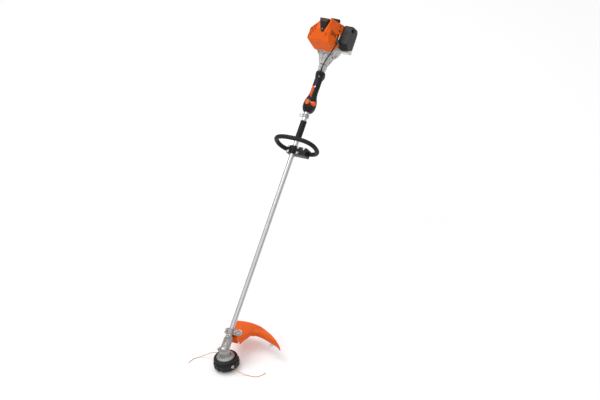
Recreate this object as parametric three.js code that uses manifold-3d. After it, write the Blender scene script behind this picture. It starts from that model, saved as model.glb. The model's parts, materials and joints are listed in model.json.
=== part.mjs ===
// Petrol loop-handle brush mower with a two-line bump-feed mowing head.
// Millimetres, +Z up. The origin is on the floor under the head's spin axis,
// the drive tube rises towards +Y, and the machine's left side is +X.
import * as THREE from 'three';
import { mergeVertices } from 'three/addons/utils/BufferGeometryUtils.js';
import Module from 'manifold-3d';

const wasm = await Module();
wasm.setup();

// a tool-frame geometry moved into the head's frame, for cuts across the two groups
const inHeadFrame = (geometry) => {
  tool.updateMatrix();
  return geometry.clone().applyMatrix4(tool.matrix);
};

// ---------------------------------------------------------------- dimensions
const GAP = 0.3;                    // clearance between pieces that seat on each other
const FINE = 28;                    // facets round large, medium and small turned pieces
const ROUND = 22;
const MEDIUM = 16;
const SMALL = 10;

// mowing head
const HEAD_RADIUS = 64;
const HEAD_TOP = 60;
const HEAD_SPLIT = 24;              // joint between lower cover and shell
const SHELL_TAPER = 8;              // top ring is this much smaller than the shell
const SHELL_WALL = 3;
const SPOOL_RADIUS = HEAD_RADIUS - 18;
const SPOOL_CORE = 20;
const KNOB_RADIUS = 23;
const KNOB_TRAVEL = 6;
const SPOOL_HEIGHT = HEAD_TOP - SHELL_WALL - HEAD_SPLIT - KNOB_TRAVEL - 5;
const LINE_RADIUS = 1.35;
const LINE_ANGLE = -31;             // degrees round the head where the first line leaves it
const EYELET_HEIGHT = HEAD_SPLIT + 12;
const EYELET_RADIUS = 6;
const CUP_HEIGHT = 14;               // dished wall of the thrust plate
const PLATE_RADIUS = 44;            // thrust plate
const PLATE_THICKNESS = 4;

// drive line; lengths run along the tube from its crossing with the head's axis
const TUBE_ANGLE = 35;              // degrees from the floor to the drive tube
const GEAR_HEIGHT = HEAD_TOP + 37;  // floor to that crossing
const TUBE_RADIUS = 12.7;
const TUBE_WALL = 1.6;
const TUBE_START = 56;
const TUBE_LENGTH = 1412;
const TUBE_END = TUBE_START + TUBE_LENGTH;
const SHAFT_RADIUS = 4;
const PINION_START = 25;
const PINION_LENGTH = 12;
const PINION_RADIUS = 8.5;

// gearbox
const GEARBOX_WALL = 4;
const GEAR_RADIUS = 17.5;
const GEARBOX_RADIUS = GEAR_RADIUS + 2.5 + GEARBOX_WALL;
const GEAR_DROP = 10;               // bevel gear's top below the axes' crossing
const OUTPUT_RADIUS = 6;            // output shaft of the gearbox
const SOCKET_RADIUS = TUBE_RADIUS + 4.3;    // socket that holds the tube
const SOCKET_LENGTH = 74;

// deflector
const GUARD_START = SOCKET_LENGTH + 10;     // clamp's place along the tube
const GUARD_CLAMP_LENGTH = 26;
const CLAMP_LOBE = 16;              // round ear on the machine's left
const GUARD_RADIUS = 236;
const GUARD_THICKNESS = 4;
const GUARD_HEIGHT = GEAR_HEIGHT - 1;       // floor to the deflector's roof
const GUARD_SKIRT = 34;
const GUARD_LIP = 20;               // wall along the inner edge
const GUARD_TIP = 34;               // how far the tip stands out beyond the radius
const GUARD_FROM = 24;              // degrees round the head axis, from +X
const GUARD_TO = 112;

// control handle, placed from the tube's rear end
const HANDLE_START = TUBE_END - 228;
const HANDLE_LENGTH = 214;
const HANDLE_END = HANDLE_START + HANDLE_LENGTH;
const HANDLE_WALL = 2.4;
const BULB_RADIUS = TUBE_RADIUS + 20.3;
const BULB_DROP = 2;                // handle's axis below the tube's
const GRIP_RADIUS = TUBE_RADIUS + 6.8;
const TRIGGER_PIVOT = HANDLE_START + 96;
const LOCKOUT_PIVOT = HANDLE_START + 82;
const STOP_PLACE = HANDLE_START + 46;
const DIAL_RADIUS = 12;

// loop handle and the pieces on the tube in front of the control handle
const LOOP_START = HANDLE_START - 198;
const LOOP_HALF_WIDTH = 108;
const LOOP_HALF_HEIGHT = 70;
const LOOP_ROD = 11;
const LOOP_OFFSET = 30;             // towards the machine's left
const LOOP_LEAN = 12;               // degrees, top towards the engine
const LOOP_CLAMP_LENGTH = 40;
const LOOP_CLAMP_WING = 38;          // clamp reaches this much further on the machine's left
const CLAMP_BOLT = 3;               // bolt radius
const HOSE_START = LOOP_START + 56;
const HOSE_LENGTH = 97;
const HOSE_RADIUS = TUBE_RADIUS + 2.8;
const EYELET_CLAMP_START = HANDLE_START - 27;
const EYELET_CLAMP_LENGTH = 18;

// clutch and fan
const NECK_START = TUBE_END - 10;   // neck clamp
const NECK_LENGTH = 34;
const HOUSING_START = NECK_START + NECK_LENGTH + GAP;
const HOUSING_WALL = 3;
const DRUM_START = HOUSING_START + 44;
const DRUM_LENGTH = 20;
const DRUM_RADIUS = 31;
const DRUM_WALL = 3;
const SHOE_RADIUS = DRUM_RADIUS - DRUM_WALL - 1.4;
const FAN_START = DRUM_START + DRUM_LENGTH + 6;
const FAN_RADIUS = 52;
const FAN_FACE = FAN_START + 24;    // rear face of the clutch and fan housing
const HOUSING_RADIUS = FAN_RADIUS + HOUSING_WALL + 7;

// engine; heights run up from the crankshaft, which is in line with the tube
const CRANK_RADIUS = 14;            // half of the stroke
const BORE_RADIUS = 16.5;
const ROD_LENGTH = 2 * CRANK_RADIUS + 22;
const ROD_WIDTH = 10;
const WRIST_PIN = CRANK_RADIUS + ROD_LENGTH;        // at top dead centre
const CHAMBER_ROOF = WRIST_PIN + 16;
const WEB_RADIUS = CRANK_RADIUS + 8;
const WEB_THICKNESS = 6;
const CASE_WALL = 4;
const CASE_RADIUS = WEB_RADIUS + 10 + CASE_WALL;
const CASE_HALF = 26;
// cylinder axis along the crankshaft
const CYLINDER_PLACE = FAN_FACE + Math.max(CASE_HALF, BORE_RADIUS + 9.5) + 3;
const FIN_HALF = BORE_RADIUS + 14.5;
const PORT_FACE = BORE_RADIUS + 21.5;
const PORT_HEIGHT = CASE_RADIUS + 8.5;
const STARTER_START = CYLINDER_PLACE + CASE_HALF + 11;
const STARTER_LENGTH = 42;
const STARTER_RADIUS = 50;
const PULLEY_RADIUS = 30;
const GRIP_PLACE = -20;              // starter grip's place across the machine
const GRIP_TILT = 50;               // degrees from the tube up to the starter grip's pull

// covers, tank and air filter
const SHROUD_WALL = 3;
const SHROUD_FRONT = FAN_FACE - 40;
const SHROUD_BACK = STARTER_START + STARTER_LENGTH - 2;
const SHROUD_TOP = CHAMBER_ROOF + 48;
const SHROUD_RIGHT = 92;
const SHROUD_LEFT = 66;
const PLUG_RISE = 15;
const TANK_TOP = -(CASE_RADIUS + 6);
const TANK_BOTTOM = TANK_TOP - 54;
const TANK_HALF_WIDTH = 80;
const TANK_FRONT = FAN_FACE + 4;
const TANK_BACK = STARTER_START + STARTER_LENGTH - 4;
const TANK_WALL = 3;
const CAP_RADIUS = 18;
const PRIMER_TRAVEL = 4;
const COVER_INNER = 68;             // air filter cover, machine's left side
const COVER_OUTER = 112;
const COVER_TOP = 47;
const COVER_BOTTOM = -33;
const COVER_FRONT = CYLINDER_PLACE - 37;
const COVER_BACK = COVER_FRONT + 120;

const degrees = THREE.MathUtils.degToRad;

// -------------------------------------------------------------- solid helpers
const toManifold = (geometry) => {
  const bare = geometry.clone();
  for (const name of Object.keys(bare.attributes)) {
    if (name !== 'position') bare.deleteAttribute(name);
  }
  const merged = mergeVertices(bare, 1e-4);
  return new wasm.Manifold(new wasm.Mesh({
    numProp: 3,
    vertProperties: new Float32Array(merged.attributes.position.array),
    triVerts: new Uint32Array(merged.index.array),
  }));
};

const toGeometry = (manifold) => {
  const mesh = manifold.getMesh();
  const geometry = new THREE.BufferGeometry();
  geometry.setAttribute('position', new THREE.BufferAttribute(mesh.vertProperties, 3));
  geometry.setIndex(new THREE.BufferAttribute(mesh.triVerts, 1));
  return geometry;
};

const join = (...pieces) => toGeometry(pieces.map(toManifold).reduce((a, b) => a.add(b)));
const cut = (piece, ...tools) => toGeometry(tools.map(toManifold)
  .reduce((a, b) => a.subtract(b), toManifold(piece)));
const meet = (...pieces) => toGeometry(pieces.map(toManifold).reduce((a, b) => a.intersect(b)));

// a box between two corners
const block = (x0, x1, y0, y1, z0, z1) => new THREE.BoxGeometry(x1 - x0, y1 - y0, z1 - z0)
  .translate((x0 + x1) / 2, (y0 + y1) / 2, (z0 + z1) / 2);

// a round bar along Z
const bar = (radius, z0, z1, sides = MEDIUM, endRadius = radius) =>
  new THREE.CylinderGeometry(endRadius, radius, z1 - z0, sides)
    .rotateX(Math.PI / 2).translate(0, 0, (z0 + z1) / 2);

const area = (points) => points.reduce((sum, [x, y], i) => {
  const [u, v] = points[(i + 1) % points.length];
  return sum + (x * v - u * y) / 2;
}, 0);

// a turned piece about Z from [radius, z] pairs; off-axis profiles close on themselves
const turned = (profile, sides = ROUND) => {
  const points = area(profile) > 0 ? [...profile] : [...profile].reverse();
  if (Math.min(...points.map(([r]) => r)) > 0) points.push(points[0]);
  const onAxis = (i) => points[i % points.length][0] === 0;
  const start = points.findIndex((_, i) => onAxis(i) && onAxis(i + points.length - 1));
  const ordered = start > 0 ? [...points.slice(start), ...points.slice(0, start)] : points;
  return new THREE.LatheGeometry(ordered.map(([r, z]) => new THREE.Vector2(r, z)), sides)
    .rotateX(Math.PI / 2);
};

const pipe = (outer, inner, z0, z1, sides = ROUND) =>
  turned([[inner, z0], [outer, z0], [outer, z1], [inner, z1]], sides);

// an outline extruded along Z
const plate = (outline, z0, z1) => new THREE.ExtrudeGeometry(
  new THREE.Shape(outline.map(([x, y]) => new THREE.Vector2(x, y))),
  { depth: z1 - z0, bevelEnabled: false },
).translate(0, 0, z0);

// an outline of [z, y] pairs extruded along X
const sidePlate = (outline, x0, x1) =>
  plate(outline, -x1, -x0).rotateY(-Math.PI / 2);

// an outline of [x, z] pairs extruded along Y
const topPiece = (outline, y0, y1) =>
  plate(outline.map(([x, z]) => [x, -z]), y0, y1).rotateX(-Math.PI / 2);

// an outline moved inwards by a distance
const inset = (outline, distance) => {
  const points = area(outline) > 0 ? outline : [...outline].reverse();
  const count = points.length;
  return points.map(([x, y], i) => {
    const [px, py] = points[(i + count - 1) % count];
    const [nx, ny] = points[(i + 1) % count];
    const a = new THREE.Vector2(x - px, y - py).normalize();
    const b = new THREE.Vector2(nx - x, ny - y).normalize();
    const miter = new THREE.Vector2(-a.y - b.y, a.x + b.x);
    const scale = distance / (1 + a.dot(b));
    return [x + miter.x * scale, y + miter.y * scale];
  });
};

const circle = (radius, sides) => Array.from({ length: sides }, (_, i) => {
  const angle = (2 * Math.PI * i) / sides;
  return new THREE.Vector2(radius * Math.cos(angle), radius * Math.sin(angle));
});

// a round rod along a curve
const rodAlong = (curve, radius, sides, steps) => new THREE.ExtrudeGeometry(
  new THREE.Shape(circle(radius, sides)),
  { steps, extrudePath: curve, bevelEnabled: false },
);

const smooth = (points) =>
  new THREE.CatmullRomCurve3(points.map(([x, y, z]) => new THREE.Vector3(x, y, z)), false, 'centripetal');

const roundedRectangle = (halfWidth, halfHeight, radius, steps = 4) => {
  const corners = [[1, 1, 0], [-1, 1, 90], [-1, -1, 180], [1, -1, 270]];
  return corners.flatMap(([sx, sy, from]) => Array.from({ length: steps + 1 }, (_, i) => {
    const angle = degrees(from + (90 * i) / steps);
    return [
      sx * (halfWidth - radius) + radius * Math.cos(angle),
      sy * (halfHeight - radius) + radius * Math.sin(angle),
    ];
  }));
};

// ------------------------------------------------------------------ materials
const finish = (color, roughness, metalness = 0) =>
  new THREE.MeshStandardMaterial({ color, roughness, metalness });
const ORANGE = finish(0xe8520a, 0.4);
const BLACK = finish(0x1b1b1c, 0.55);
const RUBBER = finish(0x161616, 0.85);
const GREY = finish(0xc9cacc, 0.5);
const ALUMINIUM = finish(0xc4c6c8, 0.35, 1);
const STEEL = finish(0x8d9094, 0.4, 1);
const NYLON = finish(0xd98b4a, 0.45);
const TANK = finish(0xe6e4dc, 0.4);

// ----------------------------------------------------------------- assembly
const machine = new THREE.Group();
const head = new THREE.Group();
const tool = new THREE.Group();
machine.add(head, tool);

// tool frame: x to the machine's right, y up from the tube, z along the tube
const along = new THREE.Vector3(0, Math.cos(degrees(TUBE_ANGLE)), Math.sin(degrees(TUBE_ANGLE)));
const above = new THREE.Vector3(0, -along.z, along.y);
const right = new THREE.Vector3(-1, 0, 0);
tool.quaternion.setFromRotationMatrix(new THREE.Matrix4().makeBasis(right, above, along));
tool.position.set(0, 0, GEAR_HEIGHT);

const place = (group, name, geometry, material) => {
  const mesh = new THREE.Mesh(geometry, material);
  mesh.name = name;
  group.add(mesh);
  return mesh;
};

// --------------------------------------------------------------- mowing head
function buildHead() {
  const topRadius = HEAD_RADIUS - SHELL_TAPER;
  const inner = SPOOL_RADIUS + 4;
  const roof = HEAD_TOP - SHELL_WALL;
  const outside = [
    [0, HEAD_SPLIT + GAP], [HEAD_RADIUS, HEAD_SPLIT + GAP], [HEAD_RADIUS, HEAD_TOP - 19],
    [topRadius - 1, HEAD_TOP - 15], [topRadius - 1, HEAD_TOP - 12], [topRadius + 2, HEAD_TOP - 10],
    [topRadius + 2, HEAD_TOP - 3], [topRadius - 1, HEAD_TOP], [0, HEAD_TOP],
  ];
  const hollow = [
    [0, HEAD_SPLIT - 1], [inner, HEAD_SPLIT - 1], [inner, HEAD_TOP - 14],
    [inner - 4, roof], [0, roof],
  ];
  const eyeletBore = (side) => bar(EYELET_RADIUS + GAP, inner - 10, HEAD_RADIUS + 5, MEDIUM)
    .rotateY(Math.PI / 2).rotateZ(side).translate(0, 0, EYELET_HEIGHT);
  const sides = [degrees(LINE_ANGLE), degrees(LINE_ANGLE + 180)];
  place(head, 'head_shell', cut(turned(outside, FINE), turned(hollow, FINE),
    bar(OUTPUT_RADIUS + GAP, roof - 5, HEAD_TOP + 5), ...sides.map(eyeletBore)), BLACK);

  place(head, 'head_cover', turned([
    [KNOB_RADIUS + 2, 5], [HEAD_RADIUS - 20, 3], [HEAD_RADIUS - 8, 6], [HEAD_RADIUS - 1, 14],
    [HEAD_RADIUS, HEAD_SPLIT],
    [HEAD_RADIUS - 4, HEAD_SPLIT], [HEAD_RADIUS - 6, 16], [HEAD_RADIUS - 12, 10],
    [HEAD_RADIUS - 20, 7.5], [KNOB_RADIUS + 2, 9],
  ], FINE), BLACK);

  const spoolBase = HEAD_SPLIT + 2;
  const spoolTop = spoolBase + SPOOL_HEIGHT;
  const bore = OUTPUT_RADIUS + 5;
  place(head, 'spool', turned([
    [bore, spoolBase], [SPOOL_RADIUS, spoolBase], [SPOOL_RADIUS, spoolBase + 2],
    [SPOOL_RADIUS - 4, spoolBase + 3], [SPOOL_RADIUS - 5, spoolTop - 3],
    [SPOOL_RADIUS, spoolTop - 2], [SPOOL_RADIUS, spoolTop], [SPOOL_CORE - 3, spoolTop],
    [SPOOL_CORE - 3, spoolBase + 4], [bore, spoolBase + 4],
  ], ROUND), NYLON);

  const springTurns = 4;
  const springBase = spoolBase + 5;
  const springHeight = roof - springBase - 2;
  const helix = smooth(Array.from({ length: springTurns * 10 + 1 }, (_, i) => {
    const angle = (2 * Math.PI * i) / 10;
    return [13.5 * Math.cos(angle), 13.5 * Math.sin(angle),
      springBase + 1 + (springHeight * i) / (springTurns * 10)];
  }));
  place(head, 'head_spring', rodAlong(helix, 0.9, 5, springTurns * 10), STEEL);

  place(head, 'bump_knob', turned([
    [0, 0], [14, 0], [KNOB_RADIUS - 4, 2], [KNOB_RADIUS, 8], [KNOB_RADIUS, 17],
    [KNOB_RADIUS - 5, HEAD_SPLIT - 6], [9.5, HEAD_SPLIT - 6], [9.5, spoolBase + 8],
    [OUTPUT_RADIUS + 1, spoolBase + 8], [OUTPUT_RADIUS + 1, 8], [0, 8],
  ], ROUND), BLACK);

  sides.forEach((side, i) => {
    place(head, `line_eyelet_${'ab'[i]}`, turned([
      [2, inner + 1], [EYELET_RADIUS, inner + 1], [EYELET_RADIUS, HEAD_RADIUS + 0.6],
      [EYELET_RADIUS + 1.6, HEAD_RADIUS + 0.6], [EYELET_RADIUS + 1.6, HEAD_RADIUS + 2.4],
      [3, HEAD_RADIUS + 2.4], [2, HEAD_RADIUS + 1],
    ], SMALL).rotateY(Math.PI / 2).rotateZ(side).translate(0, 0, EYELET_HEIGHT), STEEL);
  });

  // free ends of the cutting line, lying on the floor
  const floor = LINE_RADIUS + 0.2;
  const lineA = [
    [40.7, -24.5, EYELET_HEIGHT], [48, -28.9, EYELET_HEIGHT], [56.6, -34, EYELET_HEIGHT], [68, -39.5, 34],
    [80, -42, 28.5], [92, -40.5, 20], [104, -37, 11.5], [120, -33, 5], [138, -30.5, floor + 0.4],
    [152, -29.5, floor], [167, -28.5, floor], [180, -24, floor], [191, -14, floor], [200, 0, floor],
    [206, 16, floor],
  ];
  const lineB = [
    [-40.7, 24.5, EYELET_HEIGHT], [-48, 28.9, EYELET_HEIGHT], [-56.6, 34, EYELET_HEIGHT], [-70, 39.5, 35],
    [-86, 41, 32], [-102, 38.5, 28], [-117, 34, 23], [-132, 28.5, 17], [-147, 23, 10.5], [-161, 17, 4.5],
    [-173, 10, floor + 0.4], [-183, 0, floor], [-189, -13, floor], [-193, -28, floor], [-195, -43, floor],
  ];
  place(head, 'trimmer_line_a', rodAlong(smooth(lineA), LINE_RADIUS, 8, 30), NYLON);
  place(head, 'trimmer_line_b', rodAlong(smooth(lineB), LINE_RADIUS, 8, 30), NYLON);

  // dished plate whose wall stands round the foot of the gearbox
  const plateBottom = HEAD_TOP + GAP;
  const cup = GEARBOX_RADIUS + 2.5;
  place(head, 'thrust_plate', turned([
    [OUTPUT_RADIUS + GAP, plateBottom], [PLATE_RADIUS, plateBottom], [PLATE_RADIUS, plateBottom + 2],
    [PLATE_RADIUS - 5, plateBottom + 7], [cup + 3, plateBottom + CUP_HEIGHT], [cup, plateBottom + CUP_HEIGHT],
    [cup, plateBottom + PLATE_THICKNESS], [OUTPUT_RADIUS + GAP, plateBottom + PLATE_THICKNESS],
  ], FINE), ALUMINIUM);
}

// ---------------------------------------------------------------- gearbox
const gearTop = GEAR_HEIGHT - GEAR_DROP;

function buildGearbox() {
  // output shaft with the bevel gear, turning with the head
  const gearBottom = gearTop - 6;
  const gearDisc = turned([
    [0, gearBottom], [GEAR_RADIUS, gearBottom], [GEAR_RADIUS - 4, gearTop], [0, gearTop],
  ], MEDIUM);
  const outputShaft = bar(OUTPUT_RADIUS, HEAD_SPLIT + 8, gearBottom + 1, MEDIUM);
  place(head, 'output_gear', join(outputShaft, gearDisc), STEEL);

  const bodyBottom = HEAD_TOP + PLATE_THICKNESS + 3;
  const bodyTop = GEAR_HEIGHT + 22;
  const outer = turned([
    [0, bodyBottom], [GEARBOX_RADIUS + 1, bodyBottom], [GEARBOX_RADIUS + 1, bodyBottom + 5],
    [GEARBOX_RADIUS - 2, bodyBottom + 7], [GEARBOX_RADIUS, GEAR_HEIGHT - 6],
    [GEARBOX_RADIUS - 2, GEAR_HEIGHT + 8], [GEARBOX_RADIUS - 9, bodyTop - 3], [0, bodyTop],
  ], ROUND);
  const socket = inHeadFrame(turned([
    [0, -8], [SOCKET_RADIUS + 3, -8], [SOCKET_RADIUS + 4, 0], [SOCKET_RADIUS + 4, 24],
    [SOCKET_RADIUS + 1, 34], [SOCKET_RADIUS, SOCKET_LENGTH],
    [0, SOCKET_LENGTH],
  ], ROUND));
  const sideBoss = bar(13, 0, 30, MEDIUM).rotateY(-Math.PI / 2).translate(0, 0, GEAR_HEIGHT);
  const chamber = turned([
    [0, bodyBottom - 1], [GEARBOX_RADIUS - 10, bodyBottom - 1], [GEARBOX_RADIUS - 10, bodyBottom + 4],
    [GEARBOX_RADIUS - GEARBOX_WALL, bodyBottom + 7], [GEARBOX_RADIUS - GEARBOX_WALL, GEAR_HEIGHT],
    [GEARBOX_RADIUS - 9, GEAR_HEIGHT + 12], [0, GEAR_HEIGHT + 15],
  ], ROUND);
  const passage = inHeadFrame(bar(PINION_RADIUS + 3, 0, TUBE_START + 1, MEDIUM));
  const tubeBore = inHeadFrame(bar(TUBE_RADIUS + GAP, TUBE_START - GAP, SOCKET_LENGTH + 5, ROUND));
  const plugBore = bar(6 + GAP, 10, 40, MEDIUM).rotateY(-Math.PI / 2).translate(0, 0, GEAR_HEIGHT);
  place(head, 'gearbox_housing', cut(join(outer, socket, sideBoss), chamber, passage, tubeBore, plugBore),
    ALUMINIUM);
  place(head, 'gearbox_plug', join(bar(6, 22, 31, MEDIUM), bar(9, 30 + GAP, 35, 6))
    .rotateY(-Math.PI / 2).translate(0, 0, GEAR_HEIGHT), STEEL);
}

// --------------------------------------------------------------- drive tube
function buildDriveLine() {
  const tube = pipe(TUBE_RADIUS, TUBE_RADIUS - TUBE_WALL, TUBE_START, TUBE_END, ROUND);
  place(tool, 'drive_tube', tube, ALUMINIUM);
  place(tool, 'pinion_gear', turned([
    [SHAFT_RADIUS + GAP, PINION_START], [PINION_RADIUS - 3, PINION_START],
    [PINION_RADIUS, PINION_START + PINION_LENGTH], [SHAFT_RADIUS + GAP, PINION_START + PINION_LENGTH],
  ], MEDIUM), STEEL);
  place(tool, 'drive_shaft', bar(SHAFT_RADIUS, PINION_START - 1, DRUM_START - 6, SMALL), STEEL);
}

// ----------------------------------------------------- deflector and clamp
function buildDeflector() {
  const clampEnd = GUARD_START + GUARD_CLAMP_LENGTH;
  const bore = bar(TUBE_RADIUS + GAP, GUARD_START - 5, clampEnd + 5, ROUND);
  const ring = bar(TUBE_RADIUS + 7, GUARD_START, clampEnd, ROUND);
  const boltOffset = TUBE_RADIUS + 11.3;
  const half = boltOffset + 7;                // half width of the clamp
  const lobe = bar(CLAMP_LOBE, 0, 6, MEDIUM).rotateX(-Math.PI / 2)
    .translate(-half - CLAMP_LOBE, 0, GUARD_START + CLAMP_LOBE);
  const ears = join(block(-half - CLAMP_LOBE, half, 0, 4, GUARD_START, clampEnd), lobe);
  const upper = meet(cut(join(ring, ears), bore), block(-3 * half, half, 1.2, half, 0, clampEnd + 20));
  const boltPlaces = [-boltOffset, boltOffset];
  const middle = GUARD_START + GUARD_CLAMP_LENGTH / 2;
  const boltHole = (x) => bar(CLAMP_BOLT + GAP, -40, 40, SMALL).rotateX(-Math.PI / 2)
    .translate(x, 0, middle);
  place(tool, 'guard_clamp', cut(upper, ...boltPlaces.map(boltHole)), GREY);
  boltPlaces.forEach((x, i) => {
    place(tool, `guard_bolt_${'ab'[i]}`, join(bar(CLAMP_BOLT, -18, 5, SMALL), bar(5.5, 4 + GAP, 10, 6))
      .rotateX(-Math.PI / 2).translate(x, 0, middle), STEEL);
  });

  // roof, outer skirt and tongue under the tube
  const roofBottom = GUARD_HEIGHT - GUARD_THICKNESS;
  const steps = 18;
  const outerRadius = (angle) => GUARD_RADIUS + GUARD_TIP * Math.max(0, (60 - angle) / 36) ** 1.5;
  const edgePoint = (angle, width) => new THREE.Vector2(outerRadius(angle) - width, 0)
    .rotateAround(new THREE.Vector2(), degrees(angle));
  const outerEdge = Array.from({ length: steps + 1 }, (_, i) =>
    edgePoint(GUARD_FROM + ((GUARD_TO - GUARD_FROM) * i) / steps, 0));
  // inner edge, from beside the clamp round to the tip, by angle and width of roof
  const innerEdge = new THREE.SplineCurve([
    new THREE.Vector2(half, 92),
    new THREE.Vector2(half + 3, 120),
    ...[[74, 84], [70.8, 59.2], [64.2, 42.8], [51.9, 32.3], [40.7, 23.9], [32.2, 9.8], [25, 2.4]]
      .map(([angle, width]) => edgePoint(angle, width)),
  ]).getPoints(16);
  // a wall of one thickness to the left of an edge, in straight lengths
  const wall = (edge, z0, z1) => {
    const shifted = edge.map((point, i) => {
      const before = edge[Math.max(i - 1, 0)];
      const along = edge[Math.min(i + 1, edge.length - 1)].clone().sub(before).normalize();
      return new THREE.Vector2(-along.y, along.x).multiplyScalar(GUARD_THICKNESS).add(point);
    });
    return join(...edge.slice(1).map((point, i) => plate(
      [edge[i], point, shifted[i + 1], shifted[i]].map(({ x, y }) => [x, y]), z0, z1)));
  };
  const outline = [...outerEdge, new THREE.Vector2(-half, 92), ...innerEdge].map(({ x, y }) => [x, y]);
  const roof = plate(outline, roofBottom, GUARD_HEIGHT);
  // the skirt is shallow at the tip
  const skirts = [[0, 5, 10], [3, 9, 22], [7, steps + 1, GUARD_SKIRT]].map(([first, last, drop]) =>
    wall(outerEdge.slice(first, last), roofBottom - drop, GUARD_HEIGHT));
  const innerWall = wall(innerEdge, roofBottom - GUARD_LIP, GUARD_HEIGHT);
  const saddle = inHeadFrame(block(-half, half, -TUBE_RADIUS - 11, -1.2, GUARD_START, clampEnd));
  const tongue = block(-half, half, 72, 104, roofBottom, GUARD_HEIGHT + 30);
  const clearance = inHeadFrame(bar(TUBE_RADIUS + 1, 20, 220, ROUND));
  const aboveTube = inHeadFrame(block(-2 * half, 2 * half, -1.2, 90, -20, 220));
  const holes = boltPlaces.map((x) => inHeadFrame(boltHole(x)));
  const guard = join(roof, ...skirts, innerWall, saddle, tongue);
  place(head, 'deflector', cut(guard, clearance, aboveTube, ...holes), ORANGE);

  const cutterTop = roofBottom - GUARD_LIP - GAP;
  const cutter = block(213, 237, -1.5, 1.5, cutterTop - 14, cutterTop).rotateZ(degrees(40));
  place(head, 'line_cutter', cutter, STEEL);
}

// ------------------------------------------------------------ front handle
function buildLoopHandle() {
  const base = -(TUBE_RADIUS + LOOP_ROD + 3);
  const centre = base + LOOP_HALF_HEIGHT;
  const lean = degrees(LOOP_LEAN);
  const power = 0.8;                          // squarer than an ellipse
  const loopCurve = (gapAngle) => smooth(Array.from({ length: 41 }, (_, i) => {
    const angle = degrees(-90 + gapAngle + ((360 - 2 * gapAngle) * i) / 40);
    const c = Math.cos(angle);
    const s = Math.sin(angle);
    const x = -LOOP_OFFSET + LOOP_HALF_WIDTH * Math.sign(c) * Math.abs(c) ** power;
    const h = centre + LOOP_HALF_HEIGHT * Math.sign(s) * Math.abs(s) ** power;
    return [x, base + (h - base) * Math.cos(lean), LOOP_START + (h - base) * Math.sin(lean)];
  }));
  place(tool, 'loop_handle', rodAlong(loopCurve(3), LOOP_ROD, 8, 44), RUBBER);

  const from = LOOP_START - LOOP_CLAMP_LENGTH / 2;
  const to = LOOP_START + LOOP_CLAMP_LENGTH / 2;
  const tubeBore = bar(TUBE_RADIUS + GAP, from - 5, to + 5, ROUND);
  const rodChannel = rodAlong(loopCurve(2), LOOP_ROD + 1, 8, 44);
  const boltOffset = TUBE_RADIUS + 13.3;
  const half = boltOffset + 8;                // half width of the clamp
  const left = half + LOOP_CLAMP_WING;
  const boss = bar(6, 9, 15, SMALL).rotateX(-Math.PI / 2).translate(14 - left, 0, to - 8);
  const lowerBlock = block(-left, half, base - LOOP_ROD - 3, -1, from, to);
  const upperBlock = join(bar(TUBE_RADIUS + 6, from, to, ROUND), block(-left, half, 1, 10, from, to), boss);
  const boltPlaces = [-boltOffset, boltOffset];
  const hole = (x) => bar(CLAMP_BOLT + GAP, -90, 40, SMALL).rotateX(-Math.PI / 2).translate(x, 0, to - 7);
  place(tool, 'loop_clamp_lower', cut(lowerBlock, tubeBore, rodChannel, ...boltPlaces.map(hole)), BLACK);
  place(tool, 'loop_clamp_upper', cut(meet(upperBlock, block(-left, half, 1, half, from, to)), tubeBore,
    ...boltPlaces.map(hole)), BLACK);
  boltPlaces.forEach((x, i) => {
    place(tool, `loop_bolt_${'ab'[i]}`, join(bar(CLAMP_BOLT, -9, 11, SMALL), bar(6, 10 + GAP, 16, SMALL))
      .rotateX(-Math.PI / 2).translate(x, 0, to - 7), STEEL);
  });

  const hose = pipe(HOSE_RADIUS, TUBE_RADIUS + GAP, HOSE_START, HOSE_START + HOSE_LENGTH, ROUND);
  place(tool, 'hose_grip', hose, RUBBER);

  const clampEnd = EYELET_CLAMP_START + EYELET_CLAMP_LENGTH;
  const wing = block(TUBE_RADIUS, TUBE_RADIUS + 21.3, -3, 3, EYELET_CLAMP_START + 2, clampEnd - 2);
  const eye = bar(5.5, -20, 20, MEDIUM).rotateX(-Math.PI / 2)
    .translate(TUBE_RADIUS + 13.3, 0, (EYELET_CLAMP_START + clampEnd) / 2);
  place(tool, 'harness_eyelet', cut(join(bar(TUBE_RADIUS + 3.5, EYELET_CLAMP_START, clampEnd, ROUND), wing),
    bar(TUBE_RADIUS + GAP, EYELET_CLAMP_START - 5, clampEnd + 5, ROUND), eye), ALUMINIUM);
}

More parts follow.
